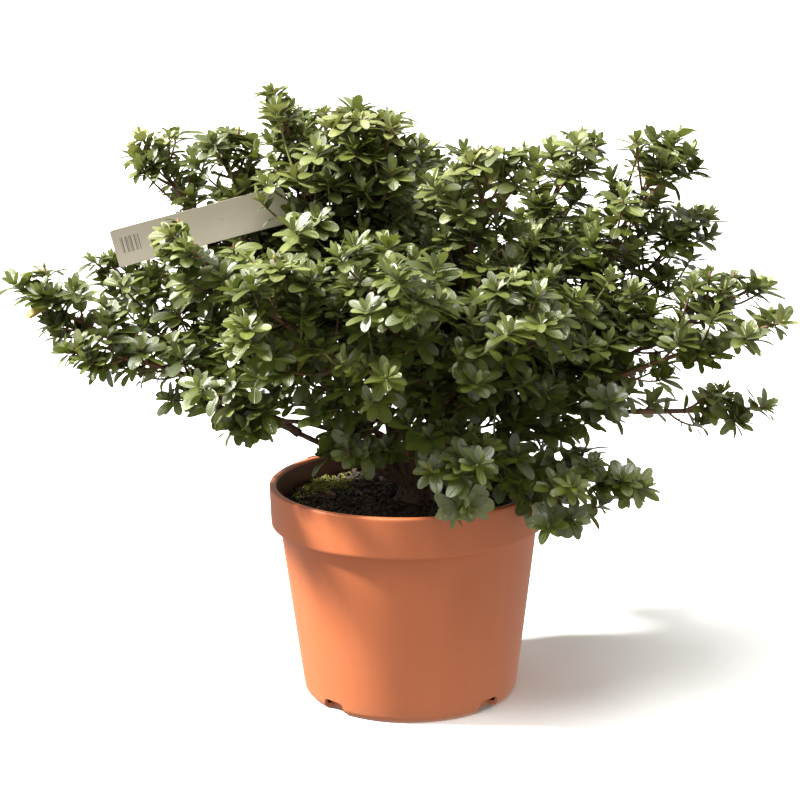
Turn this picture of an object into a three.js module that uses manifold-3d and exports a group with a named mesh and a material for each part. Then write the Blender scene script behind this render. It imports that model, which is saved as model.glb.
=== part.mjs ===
// Evergreen azalea shrub with many stems, standing in its round plastic nursery pot.
// Millimetres, +Z up. The origin is the centre of the pot's flat underside; the viewer stands at -Y.
import * as THREE from "three";
import { mergeVertices } from "three/addons/utils/BufferGeometryUtils.js";
import Module from "manifold-3d";

const wasm = await Module();
wasm.setup();

// Pot
const potHeight = 148;
const rimRadius = 95;
const rimBandHeight = 28;
const rimStep = 6.5;
const lipWidth = 4.8;
const lipRound = 1.6;
const wallThickness = 2.2;
const potFloor = 3;
const baseRadius = 74;
const baseCornerRound = 5;
const baseCornerFlare = 0.5;
const bandUndercut = 1;
const bandUndercutHeight = 1.5;
const potFacets = 32;
const drainNotchCount = 4;
const drainNotchWidth = 18;
const drainNotchHeight = 6;
const drainNotchDepth = 8;

// Soil, clear of the pot all round
const seatGap = 0.3;
const soilTop = 135;
const soilEdgeDrop = 3;
const soilFlatRadius = 30;
const soilMoundRadius = 52;
const soilMoundRise = 1;
const soilWallGap = 0.6;
const soilFootInset = 2;

// Root collar: the woody foot that all the boughs rise from
const collarCentre = new THREE.Vector2(5, 0);
const collarHeight = 17;
const collarTopRadius = 8;
const collarWaistRadius = 9;
const collarFlareRadius = 14;
const collarFacets = 12;
const collarFlareHeight = 3;
const collarFlareStep = 2.5;
const collarWaistHeight = 8;
const collarCrownRound = 2;
const collarForkDepth = 6;
const collarForkRadius = 4.5;

// Limbs
const boughSides = 5;
const boughStepLength = 28;
const collarStepLength = 14;
const mainBoughRadius = 3.7;
const sideBoughRadius = 2.5;
const boughTipRadius = 2.1;
const limbClearance = 0.7;
const limbChainStep = 4;
const leaderChainSteps = 8;
const woodChainSteps = 10;

// Twigs and leaves
const twigSides = 3;
const leaderSteps = 3;
const twigSteps = 1;
const leaderTipRadius = 1.9;
const twigRootRadius = 1.1;
const twigTipRadius = 1.8;
const twigLean = 52;
const twigLeanSpread = 14;
const twigRise = 0.3;
const twigSpacing = 25;
const leafLength = 40;
const leafWidth = 25;
const leafThickness = 1.8;
const leafWidestShare = 0.58;
const rosetteInnerTilt = 46;
const rosetteOuterTilt = 82;
const rosetteTop = 1.6;
const rosetteStep = 5;
const stemLeafStep = 16;
const stemLeafTilt = 62;
const bareShare = 0.25;
const leafTries = [1, 0.8, 0.66];
const leafSizeLeast = 0.85;
const leafSizeSpread = 0.25;
const leafTestShares = [0.3, 0.8, 1];
const leafFrameSteps = 12;
const leafSwing = 0.6;
const leafLift = 0.2;
const leafRootSink = 0.2;
const leafTouch = 0.02;
const twigShareFirst = 0.08;
const twigShareLast = 0.84;
const fewestTwigs = 3;
const twigTries = [1, 0.72, 0.5];
const twigLengthLeast = 0.8;
const twigLengthSpread = 0.35;
const fullnessFirst = 0.22;
const fullnessLast = 0.8;
const twigFrameSteps = 16;
const twigTestSteps = 4;
const firstSeed = 101;
const spaceMargin = 1.6;
const spaceRim = 8;
const crownRise = 28;
const rosetteReach = 22;
const limbMargin = 1.4;
const rimMargin = 3;
const goldenAngle = Math.PI * (3 - Math.sqrt(5));

// Label: a bare plastic strip whose narrow tail is closed round one bough
const labelLength = 118;
const labelWidth = 25;
const labelThickness = 0.8;
const labelSlope = -13;
const labelLift = 9;
const labelTurn = 8;
const labelTailLength = 14;
const labelTailWidth = 7;
const labelBoughShare = 0.95;
const labelRingWidth = 2;
const labelRingGap = 0.45;
const labelRingFacets = 14;
const labelMargin = 2.5;

// Greens of the masses, each a little different in hue and lightness
const foliageHue = 0.26;
const foliageHueSpread = 0.03;
const foliageSaturation = 0.42;
const foliageLightness = 0.24;
const foliageLightnessSpread = 0.05;

// Each limb runs from the root collar, or from its place `at` along another limb's bough, to the tip
// of its mass of foliage. The tip is given by bearing (degrees from +X), reach from the plant's axis
// and height above the ground. `arch` lifts the middle of the limb, `wood` is the share of its length
// that is bare bough, and `girth` is the radius of its mass.
const limbColumns = ["name", "from", "at", "bearing", "reach", "height", "arch", "wood", "girth"];
const limbRows = [
  ["far_left", "collar", 0, 187, 266, 295, -6, 0.46, 36],
  ["low_left", "far_left", 0.6, 195, 236, 252, 14, 0.3, 32],
  ["left", "far_left", 0.85, 175, 210, 302, 0, 0.25, 40],
  ["upper_left", "collar", 0, 162, 199, 384, -12, 0.42, 36],
  ["left_front", "upper_left", 0.55, 201, 168, 330, 8, 0.28, 46],
  ["top_left", "upper_left", 0.8, 171, 134, 388, -2, 0.25, 42],
  ["under_left", "collar", 0, 207, 138, 198, 22, 0.72, 34],
  ["top_tall", "collar", 0, 180, 92, 419, 4, 0.72, 26],
  ["top_middle", "top_tall", 0.5, 223, 29, 402, 0, 0.3, 52],
  ["top_back", "top_tall", 0.66, 135, 85, 398, 0, 0.3, 50],
  ["top_right_inner", "collar", 0, 308, 84, 381, 2, 0.42, 46],
  ["top_right_back", "top_right_inner", 0.5, 26, 132, 382, -14, 0.3, 38],
  ["top_right", "collar", 0, 8, 184, 384, -20, 0.36, 36],
  ["right_upper", "top_right", 0.6, 14, 208, 325, -8, 0.3, 41],
  ["right_far", "collar", 0, 352, 230, 286, 4, 0.44, 41],
  ["right_end", "right_far", 0.6, 346, 248, 266, 6, 0.3, 32],
  ["right_low", "right_far", 0.8, 355, 240, 200, -2, 0.42, 31],
  ["low_right", "collar", 0, 334, 167, 159, 10, 0.5, 30],
  ["over_rim", "low_right", 0.5, 315, 144, 142, 18, 0.3, 40],
  ["over_soil", "collar", 0, 232, 76, 176, 28, 0.34, 50],
  ["front_low", "collar", 0, 285, 128, 158, 40, 0.3, 46],
  ["front_left", "front_middle", 0.6, 228, 156, 295, 10, 0.22, 60],
  ["front_middle", "collar", 0, 264, 142, 316, 10, 0.3, 60],
  ["front_right", "front_middle", 0.62, 306, 155, 284, 12, 0.22, 60],
  ["back_left", "back_middle", 0.5, 136, 196, 304, 10, 0.3, 60],
  ["back_middle", "collar", 0, 84, 158, 352, 6, 0.4, 60],
  ["back_right", "back_middle", 0.6, 48, 194, 296, 10, 0.3, 60],
  ["back_low", "collar", 0, 66, 165, 218, 40, 0.36, 56],
];
const limbs = limbRows.map((row) => Object.fromEntries(row.map((value, i) => [limbColumns[i], value])));

const plasticTerracotta = new THREE.MeshStandardMaterial({ color: 0xcc7d54, roughness: 0.42, metalness: 0 });
const pottingMix = new THREE.MeshStandardMaterial({ color: 0x3b2b20, roughness: 0.95, metalness: 0 });
const bark = new THREE.MeshStandardMaterial({ color: 0x6d5442, roughness: 0.85, metalness: 0 });
const labelPlastic = new THREE.MeshStandardMaterial({ color: 0xcdc8ba, roughness: 0.5, metalness: 0 });

const up = new THREE.Vector3(0, 0, 1);
const cornerRoundings = [1e-3, 1e-4];
const plant = new THREE.Group();

// Random numbers that come out the same every time for one seed.
function seededRandom(seed) {
  let state = seed >>> 0;
  return () => {
    state = (state + 0x6d2b79f5) >>> 0;
    let t = state;
    t = Math.imul(t ^ (t >>> 15), t | 1);
    t ^= t + Math.imul(t ^ (t >>> 7), t | 61);
    return ((t ^ (t >>> 14)) >>> 0) / 4294967296;
  };
}

// A closed geometry as a solid that can be joined and cut.
function solidOf(geometry) {
  const bare = geometry.clone();
  bare.deleteAttribute("normal");
  bare.deleteAttribute("uv");
  const merged = mergeVertices(bare, 1e-4);
  return new wasm.Manifold(
    new wasm.Mesh({
      numProp: 3,
      vertProperties: new Float32Array(merged.attributes.position.array),
      triVerts: new Uint32Array(merged.index.array),
    }),
  );
}

// The largest body of a solid, so that loose scraps go and sealed hollows are filled.
function mainBody(solid) {
  const bodies = solid.decompose();
  return bodies.reduce((best, body) => (body.volume() > best.volume() ? body : best));
}

function geometryOf(solid) {
  const mesh = solid.getMesh();
  const geometry = new THREE.BufferGeometry();
  geometry.setAttribute("position", new THREE.BufferAttribute(mesh.vertProperties, mesh.numProp));
  geometry.setIndex(new THREE.BufferAttribute(mesh.triVerts, 1));
  geometry.computeVertexNormals();
  return geometry;
}

// Every finished solid, with the box round it, so that twigs and leaves can keep clear of them.
const obstacles = [];

function addObstacle(solid) {
  const box = solid.boundingBox();
  obstacles.push({ solid, box });
}

// Whether every corner of a solid stays its own when corners are rounded this finely.
function cornersStayApart(solid) {
  const mesh = solid.getMesh();
  const corners = new THREE.BufferGeometry();
  corners.setAttribute("position", new THREE.BufferAttribute(mesh.vertProperties, mesh.numProp));
  return cornerRoundings.every((size) => {
    const merged = mergeVertices(corners, size);
    return merged.attributes.position.count === corners.attributes.position.count;
  });
}

// Joins a piece onto a mass, or leaves the mass as it is where the joint would be too fine.
function joinOnto(mass, piece) {
  const joined = mass.solid.add(piece);
  const clean = cornersStayApart(joined);
  if (clean) mass.solid = joined;
  return clean;
}

function addPiece(name, solid, material) {
  const piece = new THREE.Mesh(geometryOf(solid), material);
  piece.name = name;
  plant.add(piece);
}

function addFirmPiece(name, solid, material) {
  addPiece(name, solid, material);
  addObstacle(solid);
}

function boxesMeet(a, b) {
  return [0, 1, 2].every((k) => a.min[k] < b.max[k] && b.min[k] < a.max[k]);
}

function meets(solid, others) {
  const box = solid.boundingBox();
  return others.some((other) => boxesMeet(box, other.box) && other.solid.intersect(solid).volume() > 0);
}

// A cylinder bent along a curve, its radius going evenly from one end to the other.
function taperedTube(curve, startRadius, endRadius, sides, steps) {
  const tube = new THREE.CylinderGeometry(endRadius, startRadius, 1, sides, steps);
  const frames = curve.computeFrenetFrames(steps, false);
  const centres = curve.getSpacedPoints(steps);
  const place = tube.attributes.position;
  const moved = new THREE.Vector3();
  for (let i = 0; i < place.count; i++) {
    const step = Math.round((place.getY(i) + 0.5) * steps);
    moved.copy(centres[step]);
    moved.addScaledVector(frames.normals[step], place.getX(i));
    moved.addScaledVector(frames.binormals[step], -place.getZ(i));
    place.setXYZ(i, moved.x, moved.y, moved.z);
  }
  return tube;
}

// The stretch of a curve between two lengths along it, as a curve of its own.
class Stretch extends THREE.Curve {
  constructor(whole, fromLength, toLength) {
    super();
    this.whole = whole;
    this.fromLength = fromLength;
    this.toLength = toLength;
  }

  getPoint(t, target = new THREE.Vector3()) {
    const length = THREE.MathUtils.lerp(this.fromLength, this.toLength, t);
    return this.whole.getPointAt(THREE.MathUtils.clamp(length / this.whole.getLength(), 0, 1), target);
  }
}

// Shortest distance from a point to a chain of points, taken segment by segment.
function distanceToChain(point, chain) {
  const segment = new THREE.Line3();
  const nearest = new THREE.Vector3();
  let shortest = Infinity;
  for (let i = 1; i < chain.length; i++) {
    segment.set(chain[i - 1], chain[i]);
    segment.closestPointToPoint(point, true, nearest);
    shortest = Math.min(shortest, nearest.distanceTo(point));
  }
  return shortest;
}

// Pot: wall, lip, rim band and floor in one turned profile.
function turnedPot() {
  const bodyTopRadius = rimRadius - rimStep;
  const bandBottom = potHeight - rimBandHeight;
  const innerFloorRadius = baseRadius - wallThickness;
  const outline = new THREE.Path();
  outline.moveTo(0, 0);
  outline.lineTo(baseRadius - baseCornerRound, 0);
  outline.quadraticCurveTo(baseRadius, 0, baseRadius + baseCornerFlare, baseCornerRound);
  outline.lineTo(bodyTopRadius, bandBottom);
  outline.lineTo(rimRadius - bandUndercut, bandBottom + bandUndercutHeight);
  outline.lineTo(rimRadius, potHeight - lipRound);
  outline.lineTo(rimRadius - lipRound, potHeight);
  outline.lineTo(rimRadius - lipWidth, potHeight - lipRound / 2);
  outline.lineTo(bodyTopRadius - wallThickness, bandBottom);
  outline.lineTo(innerFloorRadius, potFloor);
  outline.lineTo(0, potFloor);
  const turned = new THREE.LatheGeometry(outline.getPoints(2), potFacets);
  turned.rotateX(Math.PI / 2);
  return turned;
}

function drainNotch(bearing) {
  const notch = new THREE.BoxGeometry(2 * drainNotchDepth, drainNotchWidth, 2 * drainNotchHeight);
  notch.translate(baseRadius, 0, 0);
  notch.rotateZ(bearing);
  return notch;
}

function addPot() {
  let pot = solidOf(turnedPot());
  for (let i = 0; i < drainNotchCount; i++) {
    const bearing = (2 * Math.PI * (i + 0.5)) / drainNotchCount;
    const channel = solidOf(drainNotch(bearing));
    pot = pot.subtract(channel);
  }
  addFirmPiece("pot", mainBody(pot), plasticTerracotta);
}

// Soil: fills the pot from its floor, flat where the plant stands and a little lower at the wall.
function addSoil() {
  const wallSlope = (rimRadius - rimStep - baseRadius) / (potHeight - rimBandHeight - potFloor);
  const wallAt = (height) => baseRadius + wallSlope * (height - potFloor) - wallThickness;
  const bottom = potFloor + seatGap;
  const footRadius = baseRadius - drainNotchDepth - soilFootInset;
  const notchTop = drainNotchHeight + potFloor;
  const bandBottom = potHeight - rimBandHeight;
  const profile = [
    new THREE.Vector2(0, bottom),
    new THREE.Vector2(footRadius, bottom),
    new THREE.Vector2(wallAt(notchTop) - soilWallGap, notchTop),
    new THREE.Vector2(wallAt(bandBottom) - soilWallGap, bandBottom),
    new THREE.Vector2(wallAt(bandBottom) - seatGap, soilTop - soilEdgeDrop),
    new THREE.Vector2(soilMoundRadius, soilTop + soilMoundRise),
    new THREE.Vector2(soilFlatRadius, soilTop),
    new THREE.Vector2(0, soilTop),
  ];
  const soil = new THREE.LatheGeometry(profile, potFacets);
  soil.rotateX(Math.PI / 2);
  addFirmPiece("potting_soil", solidOf(soil), pottingMix);
}

// Limb paths
const collarTop = soilTop + seatGap + collarHeight;

function tipOf(limb) {
  const bearing = THREE.MathUtils.degToRad(limb.bearing);
  return new THREE.Vector3(
    collarCentre.x + limb.reach * Math.cos(bearing),
    collarCentre.y + limb.reach * Math.sin(bearing),
    limb.height,
  );
}

function arched(start, tip, arch) {
  const middle = start.clone().add(tip).multiplyScalar(0.5);
  middle.z += 2 * arch;
  return new THREE.QuadraticBezierCurve3(start, middle, tip);
}

const limbNamed = new Map(limbs.map((limb) => [limb.name, limb]));

function startOf(limb) {
  if (limb.from !== "collar") {
    const parent = limbNamed.get(limb.from);
    return parent.path.getPointAt(parent.wood * limb.at);
  }
  const bearing = THREE.MathUtils.degToRad(limb.bearing);
  return new THREE.Vector3(
    collarCentre.x + collarForkRadius * Math.cos(bearing),
    collarCentre.y + collarForkRadius * Math.sin(bearing),
    collarTop - collarForkDepth,
  );
}

function layPath(limb) {
  if (limb.path) return;
  if (limb.from !== "collar") layPath(limbNamed.get(limb.from));
  limb.path = arched(startOf(limb), tipOf(limb), limb.arch);
  limb.length = limb.path.getLength();
  limb.rootRadius = limb.from === "collar" ? mainBoughRadius : sideBoughRadius;
  limb.boughEnd = limb.wood * limb.length;
  limb.chain = limb.path.getSpacedPoints(Math.ceil(limb.length / limbChainStep));
}

// The length along a limb beyond which it stays clear of the limbs that it grows beside.
function freeFrom(limb) {
  const beside = limbs.filter(
    (other) => other !== limb && (other.name === limb.from || other.from === limb.from),
  );
  const step = 0.5;
  let free = limb.from === "collar" ? 1.5 * collarForkDepth : 2 * limb.rootRadius;
  for (let along = 0; along < limb.boughEnd; along += step) {
    const point = limb.path.getPointAt(along / limb.length);
    for (const other of beside) {
      const needed = other.rootRadius + limb.rootRadius + limbClearance;
      if (distanceToChain(point, other.chain) < needed) free = Math.max(free, along + step);
    }
  }
  return free;
}

function radiusAlong(limb, along) {
  const share = THREE.MathUtils.clamp(along / limb.boughEnd, 0, 1);
  return THREE.MathUtils.lerp(limb.rootRadius, boughTipRadius, share);
}

function limbTube(limb, fromLength, toLength, stepLength) {
  const steps = Math.max(1, Math.round((toLength - fromLength) / stepLength));
  return taperedTube(
    new Stretch(limb.path, fromLength, toLength),
    radiusAlong(limb, fromLength),
    radiusAlong(limb, toLength),
    boughSides,
    steps,
  );
}

limbs.forEach(layPath);
limbs.forEach((limb) => {
  limb.boughStart = freeFrom(limb);
});

// The short collars that the side boughs of a limb stand on.
function withCollars(solid, parentName) {
  let joined = solid;
  for (const child of limbs.filter((limb) => limb.from === parentName)) {
    joined = joined.add(solidOf(limbTube(child, 0, child.boughStart, collarStepLength)));
  }
  return mainBody(joined);
}

function addRootCollar() {
  const foot = soilTop + seatGap;
  const profile = [
    new THREE.Vector2(0, foot),
    new THREE.Vector2(collarFlareRadius, foot),
    new THREE.Vector2(collarFlareRadius - collarFlareStep, foot + collarFlareHeight),
    new THREE.Vector2(collarWaistRadius, foot + collarWaistHeight),
    new THREE.Vector2(collarTopRadius, collarTop - collarCrownRound),
    new THREE.Vector2(collarTopRadius - collarCrownRound, collarTop),
    new THREE.Vector2(0, collarTop),
  ];
  const stump = new THREE.LatheGeometry(profile, collarFacets);
  stump.rotateX(Math.PI / 2);
  stump.translate(collarCentre.x, collarCentre.y, 0);
  addFirmPiece("root_collar", withCollars(solidOf(stump), "collar"), bark);
}

function addBough(limb) {
  const wood = solidOf(limbTube(limb, limb.boughStart + seatGap, limb.boughEnd, boughStepLength));
  addFirmPiece("bough_" + limb.name, withCollars(wood, limb.name), bark);
}

// Label
const labelHost = limbNamed.get("top_tall");
const labelHostLength = labelBoughShare * labelHost.boughEnd;
const labelHostShare = labelHostLength / labelHost.length;
const labelRingInner = radiusAlong(labelHost, labelHostLength) + labelRingGap;
const labelStripStart = labelRingInner + labelTailLength;
const labelTilt = new THREE.Euler(
  0,
  THREE.MathUtils.degToRad(labelSlope),
  THREE.MathUtils.degToRad(labelTurn),
  "ZYX",
);
const labelPose = new THREE.Matrix4().makeRotationFromEuler(labelTilt);
labelPose.setPosition(labelHost.path.getPointAt(labelHostShare));
const labelPoseInverse = labelPose.clone().invert();

// Strip and tail, in a frame whose origin is the ring's centre; the strip runs to -X, its face to -Y.
function addLabel() {
  const strip = new THREE.BoxGeometry(labelLength, labelThickness, labelWidth);
  strip.translate(-labelStripStart - labelLength / 2, 0, labelLift);
  const tailReach = labelStripStart + labelTailWidth;
  const tail = new THREE.BoxGeometry(tailReach, labelThickness, labelTailWidth);
  tail.translate(-tailReach / 2, 0, 0);
  const ringOuter = labelRingInner + labelRingWidth;
  const ring = new THREE.CylinderGeometry(ringOuter, ringOuter, labelTailWidth, labelRingFacets);
  const boreLength = 4 * labelTailWidth;
  const bore = new THREE.CylinderGeometry(labelRingInner, labelRingInner, boreLength, labelRingFacets);
  const boughTangent = labelHost.path.getTangentAt(labelHostShare);
  boughTangent.transformDirection(labelPoseInverse);
  const cylinderAxis = new THREE.Vector3(0, 1, 0);
  const alongBough = new THREE.Quaternion().setFromUnitVectors(cylinderAxis, boughTangent);
  ring.applyQuaternion(alongBough);
  bore.applyQuaternion(alongBough);
  const whole = solidOf(strip).add(solidOf(tail)).add(solidOf(ring)).subtract(solidOf(bore));
  const label = geometryOf(mainBody(whole)).applyMatrix4(labelPose);
  addFirmPiece("plant_label", solidOf(label), labelPlastic);
}

function nearLabel(point) {
  const local = point.clone().applyMatrix4(labelPoseInverse);
  const fromMiddle = Math.abs(local.x + labelStripStart + labelLength / 2);
  const besideStrip = fromMiddle < labelLength / 2 + labelMargin;
  const levelWithStrip = Math.abs(local.z - labelLift) < labelWidth / 2 + labelMargin;
  return besideStrip && levelWithStrip && Math.abs(local.y) < labelMargin;
}

// A mass keeps to the space that lies nearer to its own leader than to any other, counted from the
// surface of each mass, and clear of every limb, the label and the pot.
function layLeader(limb) {
  limb.leader = new Stretch(limb.path, limb.boughEnd + seatGap, limb.length - rosetteReach);
  limb.leaderChain = limb.leader.getSpacedPoints(leaderChainSteps);
  limb.crownTop = Math.max(...limb.leaderChain.map((point) => point.z)) + crownRise;
  limb.woodChain = new Stretch(limb.path, 0, limb.boughEnd).getSpacedPoints(woodChainSteps);
  limb.leaderSolid = solidOf(
    taperedTube(limb.leader, boughTipRadius, leaderTipRadius, twigSides, leaderSteps),
  );
  limb.leaderBox = limb.leaderSolid.boundingBox();
}

function insideSpace(point, limb) {
  const own = distanceToChain(point, limb.leaderChain);
  if (own > limb.girth + spaceRim || point.z > limb.crownTop) return false;
  for (const other of limbs) {
    if (other === limb) continue;
    const away = distanceToChain(point, other.leaderChain) - other.girth;
    if (away - (own - limb.girth) < 2 * spaceMargin) return false;
  }
  return true;
}

function clearOfThings(point) {
  for (const other of limbs) {
    if (distanceToChain(point, other.woodChain) < other.rootRadius + limbMargin) return false;
  }
  if (nearLabel(point)) return false;
  const fromAxis = Math.hypot(point.x, point.y);
  if (point.z < potHeight + rimMargin && fromAxis < rimRadius + rimMargin) return false;
  return point.z > soilTop;
}

const allowed = (points, limb) => points.every((p) => insideSpace(p, limb) && clearOfThings(p));

// A twig leaves its parent at a share of its length, turned round it, and bends up towards its end.
function twigCurve(parent, share, turn, lean, length) {
  const frames = parent.computeFrenetFrames(twigFrameSteps, false);
  const step = Math.round(share * twigFrameSteps);
  const root = parent.getPointAt(share);
  const side = frames.normals[step].clone().multiplyScalar(Math.cos(turn));
  side.addScaledVector(frames.binormals[step], Math.sin(turn));
  const heading = frames.tangents[step].clone().multiplyScalar(Math.cos(lean));
  heading.addScaledVector(side, Math.sin(lean));
  const bend = root.clone().addScaledVector(heading, length / 2);
  const end = root.clone().addScaledVector(heading, length);
  end.z += twigRise * length;
  return new THREE.QuadraticBezierCurve3(root, bend, end);
}

// A leaf with a flat underside and a ridged face: root, tip, two sides and the crown of the ridge.
const leafCorners = [0, -1, 0, 0, 1, 0, -1, 0, 0, 1, 0, 0, 0, 0, 1];
const leafFaces = [0, 3, 4, 3, 1, 4, 1, 2, 4, 2, 0, 4, 0, 2, 3, 2, 1, 3];

function leafSolid(root, heading, face, length, skin) {
  const leaf = new THREE.PolyhedronGeometry(leafCorners, leafFaces, 1);
  const side = new THREE.Vector3().crossVectors(heading, face).normalize();
  const above = new THREE.Vector3().crossVectors(side, heading).normalize();
  const place = leaf.attributes.position;
  const moved = new THREE.Vector3();
  const width = (leafWidth * length) / leafLength;
  for (let i = 0; i < place.count; i++) {
    const end = Math.round(place.getY(i));
    const alongShare = end === 0 ? leafWidestShare : (end + 1) / 2;
    moved.copy(root).addScaledVector(heading, alongShare * length);
    moved.addScaledVector(side, (Math.round(place.getX(i)) * width) / 2);
    moved.addScaledVector(above, Math.round(place.getZ(i)) * (leafThickness + 2 * skin) - skin);
    place.setXYZ(i, moved.x, moved.y, moved.z);
  }
  return solidOf(leaf);
}

function leafPoints(root, heading, face, length) {
  const side = new THREE.Vector3().crossVectors(heading, face).normalize();
  const width = (leafWidth * length) / leafLength;
  const middle = root.clone().addScaledVector(heading, leafWidestShare * length);
  return [
    middle,
    middle.clone().addScaledVector(side, width / 2),
    middle.clone().addScaledVector(side, -width / 2),
    ...leafTestShares.map((share) => root.clone().addScaledVector(heading, length * share)),
  ];
}

// Where the leaves of a shoot stand, from its end down: two whorls round the end, then single leaves.
// `behind` is the distance from the end, `side` the flat side of the twig, `tilt` the lean from it.
function leafStations(length) {
  const stations = [];
  for (let i = 0; i < 2 * twigSides; i++) {
    const whorl = Math.floor(i / twigSides);
    const tilt = whorl === 0 ? rosetteInnerTilt : rosetteOuterTilt;
    stations.push({ behind: rosetteTop + whorl * rosetteStep, side: i % twigSides, tilt });
  }
  const firstSingle = rosetteTop + 2 * rosetteStep + stemLeafStep / 2;
  for (let behind = firstSingle; behind < length * (1 - bareShare); behind += stemLeafStep) {
    const index = Math.round(behind / stemLeafStep);
    stations.push({ behind, side: index % twigSides, tilt: stemLeafTilt });
  }
  return stations;
}

// The leaves of one shoot. A leaf that would leave the space or cut through one that is there
// already is tried smaller, and then skipped.
function addLeaves(curve, limb, random, mass, leaves, others) {
  const length = curve.getLength();
  const frames = curve.computeFrenetFrames(leafFrameSteps, false);
  for (const station of leafStations(length)) {
    const share = 1 - station.behind / length;
    if (share < 0) continue;
    const step = Math.round(share * leafFrameSteps);
    const axis = curve.getTangentAt(share);
    const sideTurn = (station.side + 0.5) * ((2 * Math.PI) / twigSides);
    const turn = sideTurn + leafSwing * (random() - 0.5);
    const tilt = THREE.MathUtils.degToRad(station.tilt);
    const outward = frames.normals[step].clone().multiplyScalar(Math.sin(turn));
    outward.addScaledVector(frames.binormals[step], -Math.cos(turn));
    const heading = axis.clone().multiplyScalar(Math.cos(tilt)).addScaledVector(outward, Math.sin(tilt));
    heading.addScaledVector(up, leafLift).normalize();
    const face = axis.clone().multiplyScalar(Math.sin(tilt)).addScaledVector(outward, -Math.cos(tilt));
    const root = curve.getPointAt(share).addScaledVector(heading, -leafRootSink);
    const fullSize = leafLength * (leafSizeLeast + leafSizeSpread * random());
    for (const shrink of leafTries) {
      const size = fullSize * shrink;
      if (!allowed(leafPoints(root, heading, face, size), limb)) continue;
      if (meets(leafSolid(root, heading, face, size + seatGap, seatGap), others)) continue;
      const leaf = leafSolid(root, heading, face, size, 0);
      if (leaves.some((other) => other.intersect(leaf).volume() > leafTouch)) continue;
      if (!joinOnto(mass, leaf)) continue;
      leaves.push(leaf);
      break;
    }
  }
}

// The twigs that leave a mass's leader: longest at its middle, each a golden angle on from the last.
function addTwigs(limb, random, mass, others) {
  const length = limb.leader.getLength();
  const count = Math.max(fewestTwigs, Math.round(length / twigSpacing));
  const firstTurn = random() * 2 * Math.PI;
  const twigs = [];
  for (let i = 0; i < count; i++) {
    const share = THREE.MathUtils.lerp(twigShareFirst, twigShareLast, i / (count - 1));
    const turn = firstTurn + i * goldenAngle;
    const lean = THREE.MathUtils.degToRad(twigLean + twigLeanSpread * (random() - 0.5));
    const fullness = Math.sin(Math.PI * THREE.MathUtils.lerp(fullnessFirst, fullnessLast, share));
    const fullLength = limb.girth * fullness * (twigLengthLeast + twigLengthSpread * random());
    for (const shortening of twigTries) {
      const curve = twigCurve(limb.leader, share, turn, lean, fullLength * shortening);
      const points = curve.getSpacedPoints(twigTestSteps).slice(1);
      if (!allowed(points, limb)) continue;
      const twig = solidOf(taperedTube(curve, twigRootRadius, twigTipRadius, twigSides, twigSteps));
      if (meets(twig, others) || !joinOnto(mass, twig)) continue;
      twigs.push(curve);
      break;
    }
  }
  return twigs;
}

function addFoliage(limb, index) {
  const random = seededRandom(firstSeed + index);
  const leaders = limbs.filter((other) => other !== limb);
  const others = [
    ...obstacles,
    ...leaders.map((other) => ({ solid: other.leaderSolid, box: other.leaderBox })),
  ];
  const mass = { solid: limb.leaderSolid };
  const twigs = addTwigs(limb, random, mass, others);
  const leaves = [];
  for (const shoot of [limb.leader, ...twigs]) addLeaves(shoot, limb, random, mass, leaves, others);
  const hue = foliageHue + foliageHueSpread * random();
  const lightness = foliageLightness + foliageLightnessSpread * random();
  const foliageGreen = new THREE.MeshStandardMaterial({ roughness: 0.45, metalness: 0 });
  foliageGreen.color.setHSL(hue, foliageSaturation, lightness);
  addFirmPiece("foliage_" + limb.name, mainBody(mass.solid), foliageGreen);
}

addPot();
addSoil();
addRootCollar();
limbs.forEach(addBough);
addLabel();
limbs.forEach(layLeader);
limbs.forEach(addFoliage);

export default plant;
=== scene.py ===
"""Evergreen azalea shrub with many stems, standing in its round nursery pot.

The shrub grows from the same table of limbs and the same seeded rule as its solid frame, and is
carried on to finer twigs, whorls of leaves and buds. Growth is worked out in millimetres, +Z up,
with the origin at the centre of the pot's flat underside; the viewer stands at -Y.
"""

import math

import bpy
import numpy as np
from bpy.props import FloatProperty, FloatVectorProperty, IntProperty, PointerProperty
from mathutils import Euler, Matrix, Vector, noise


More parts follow.
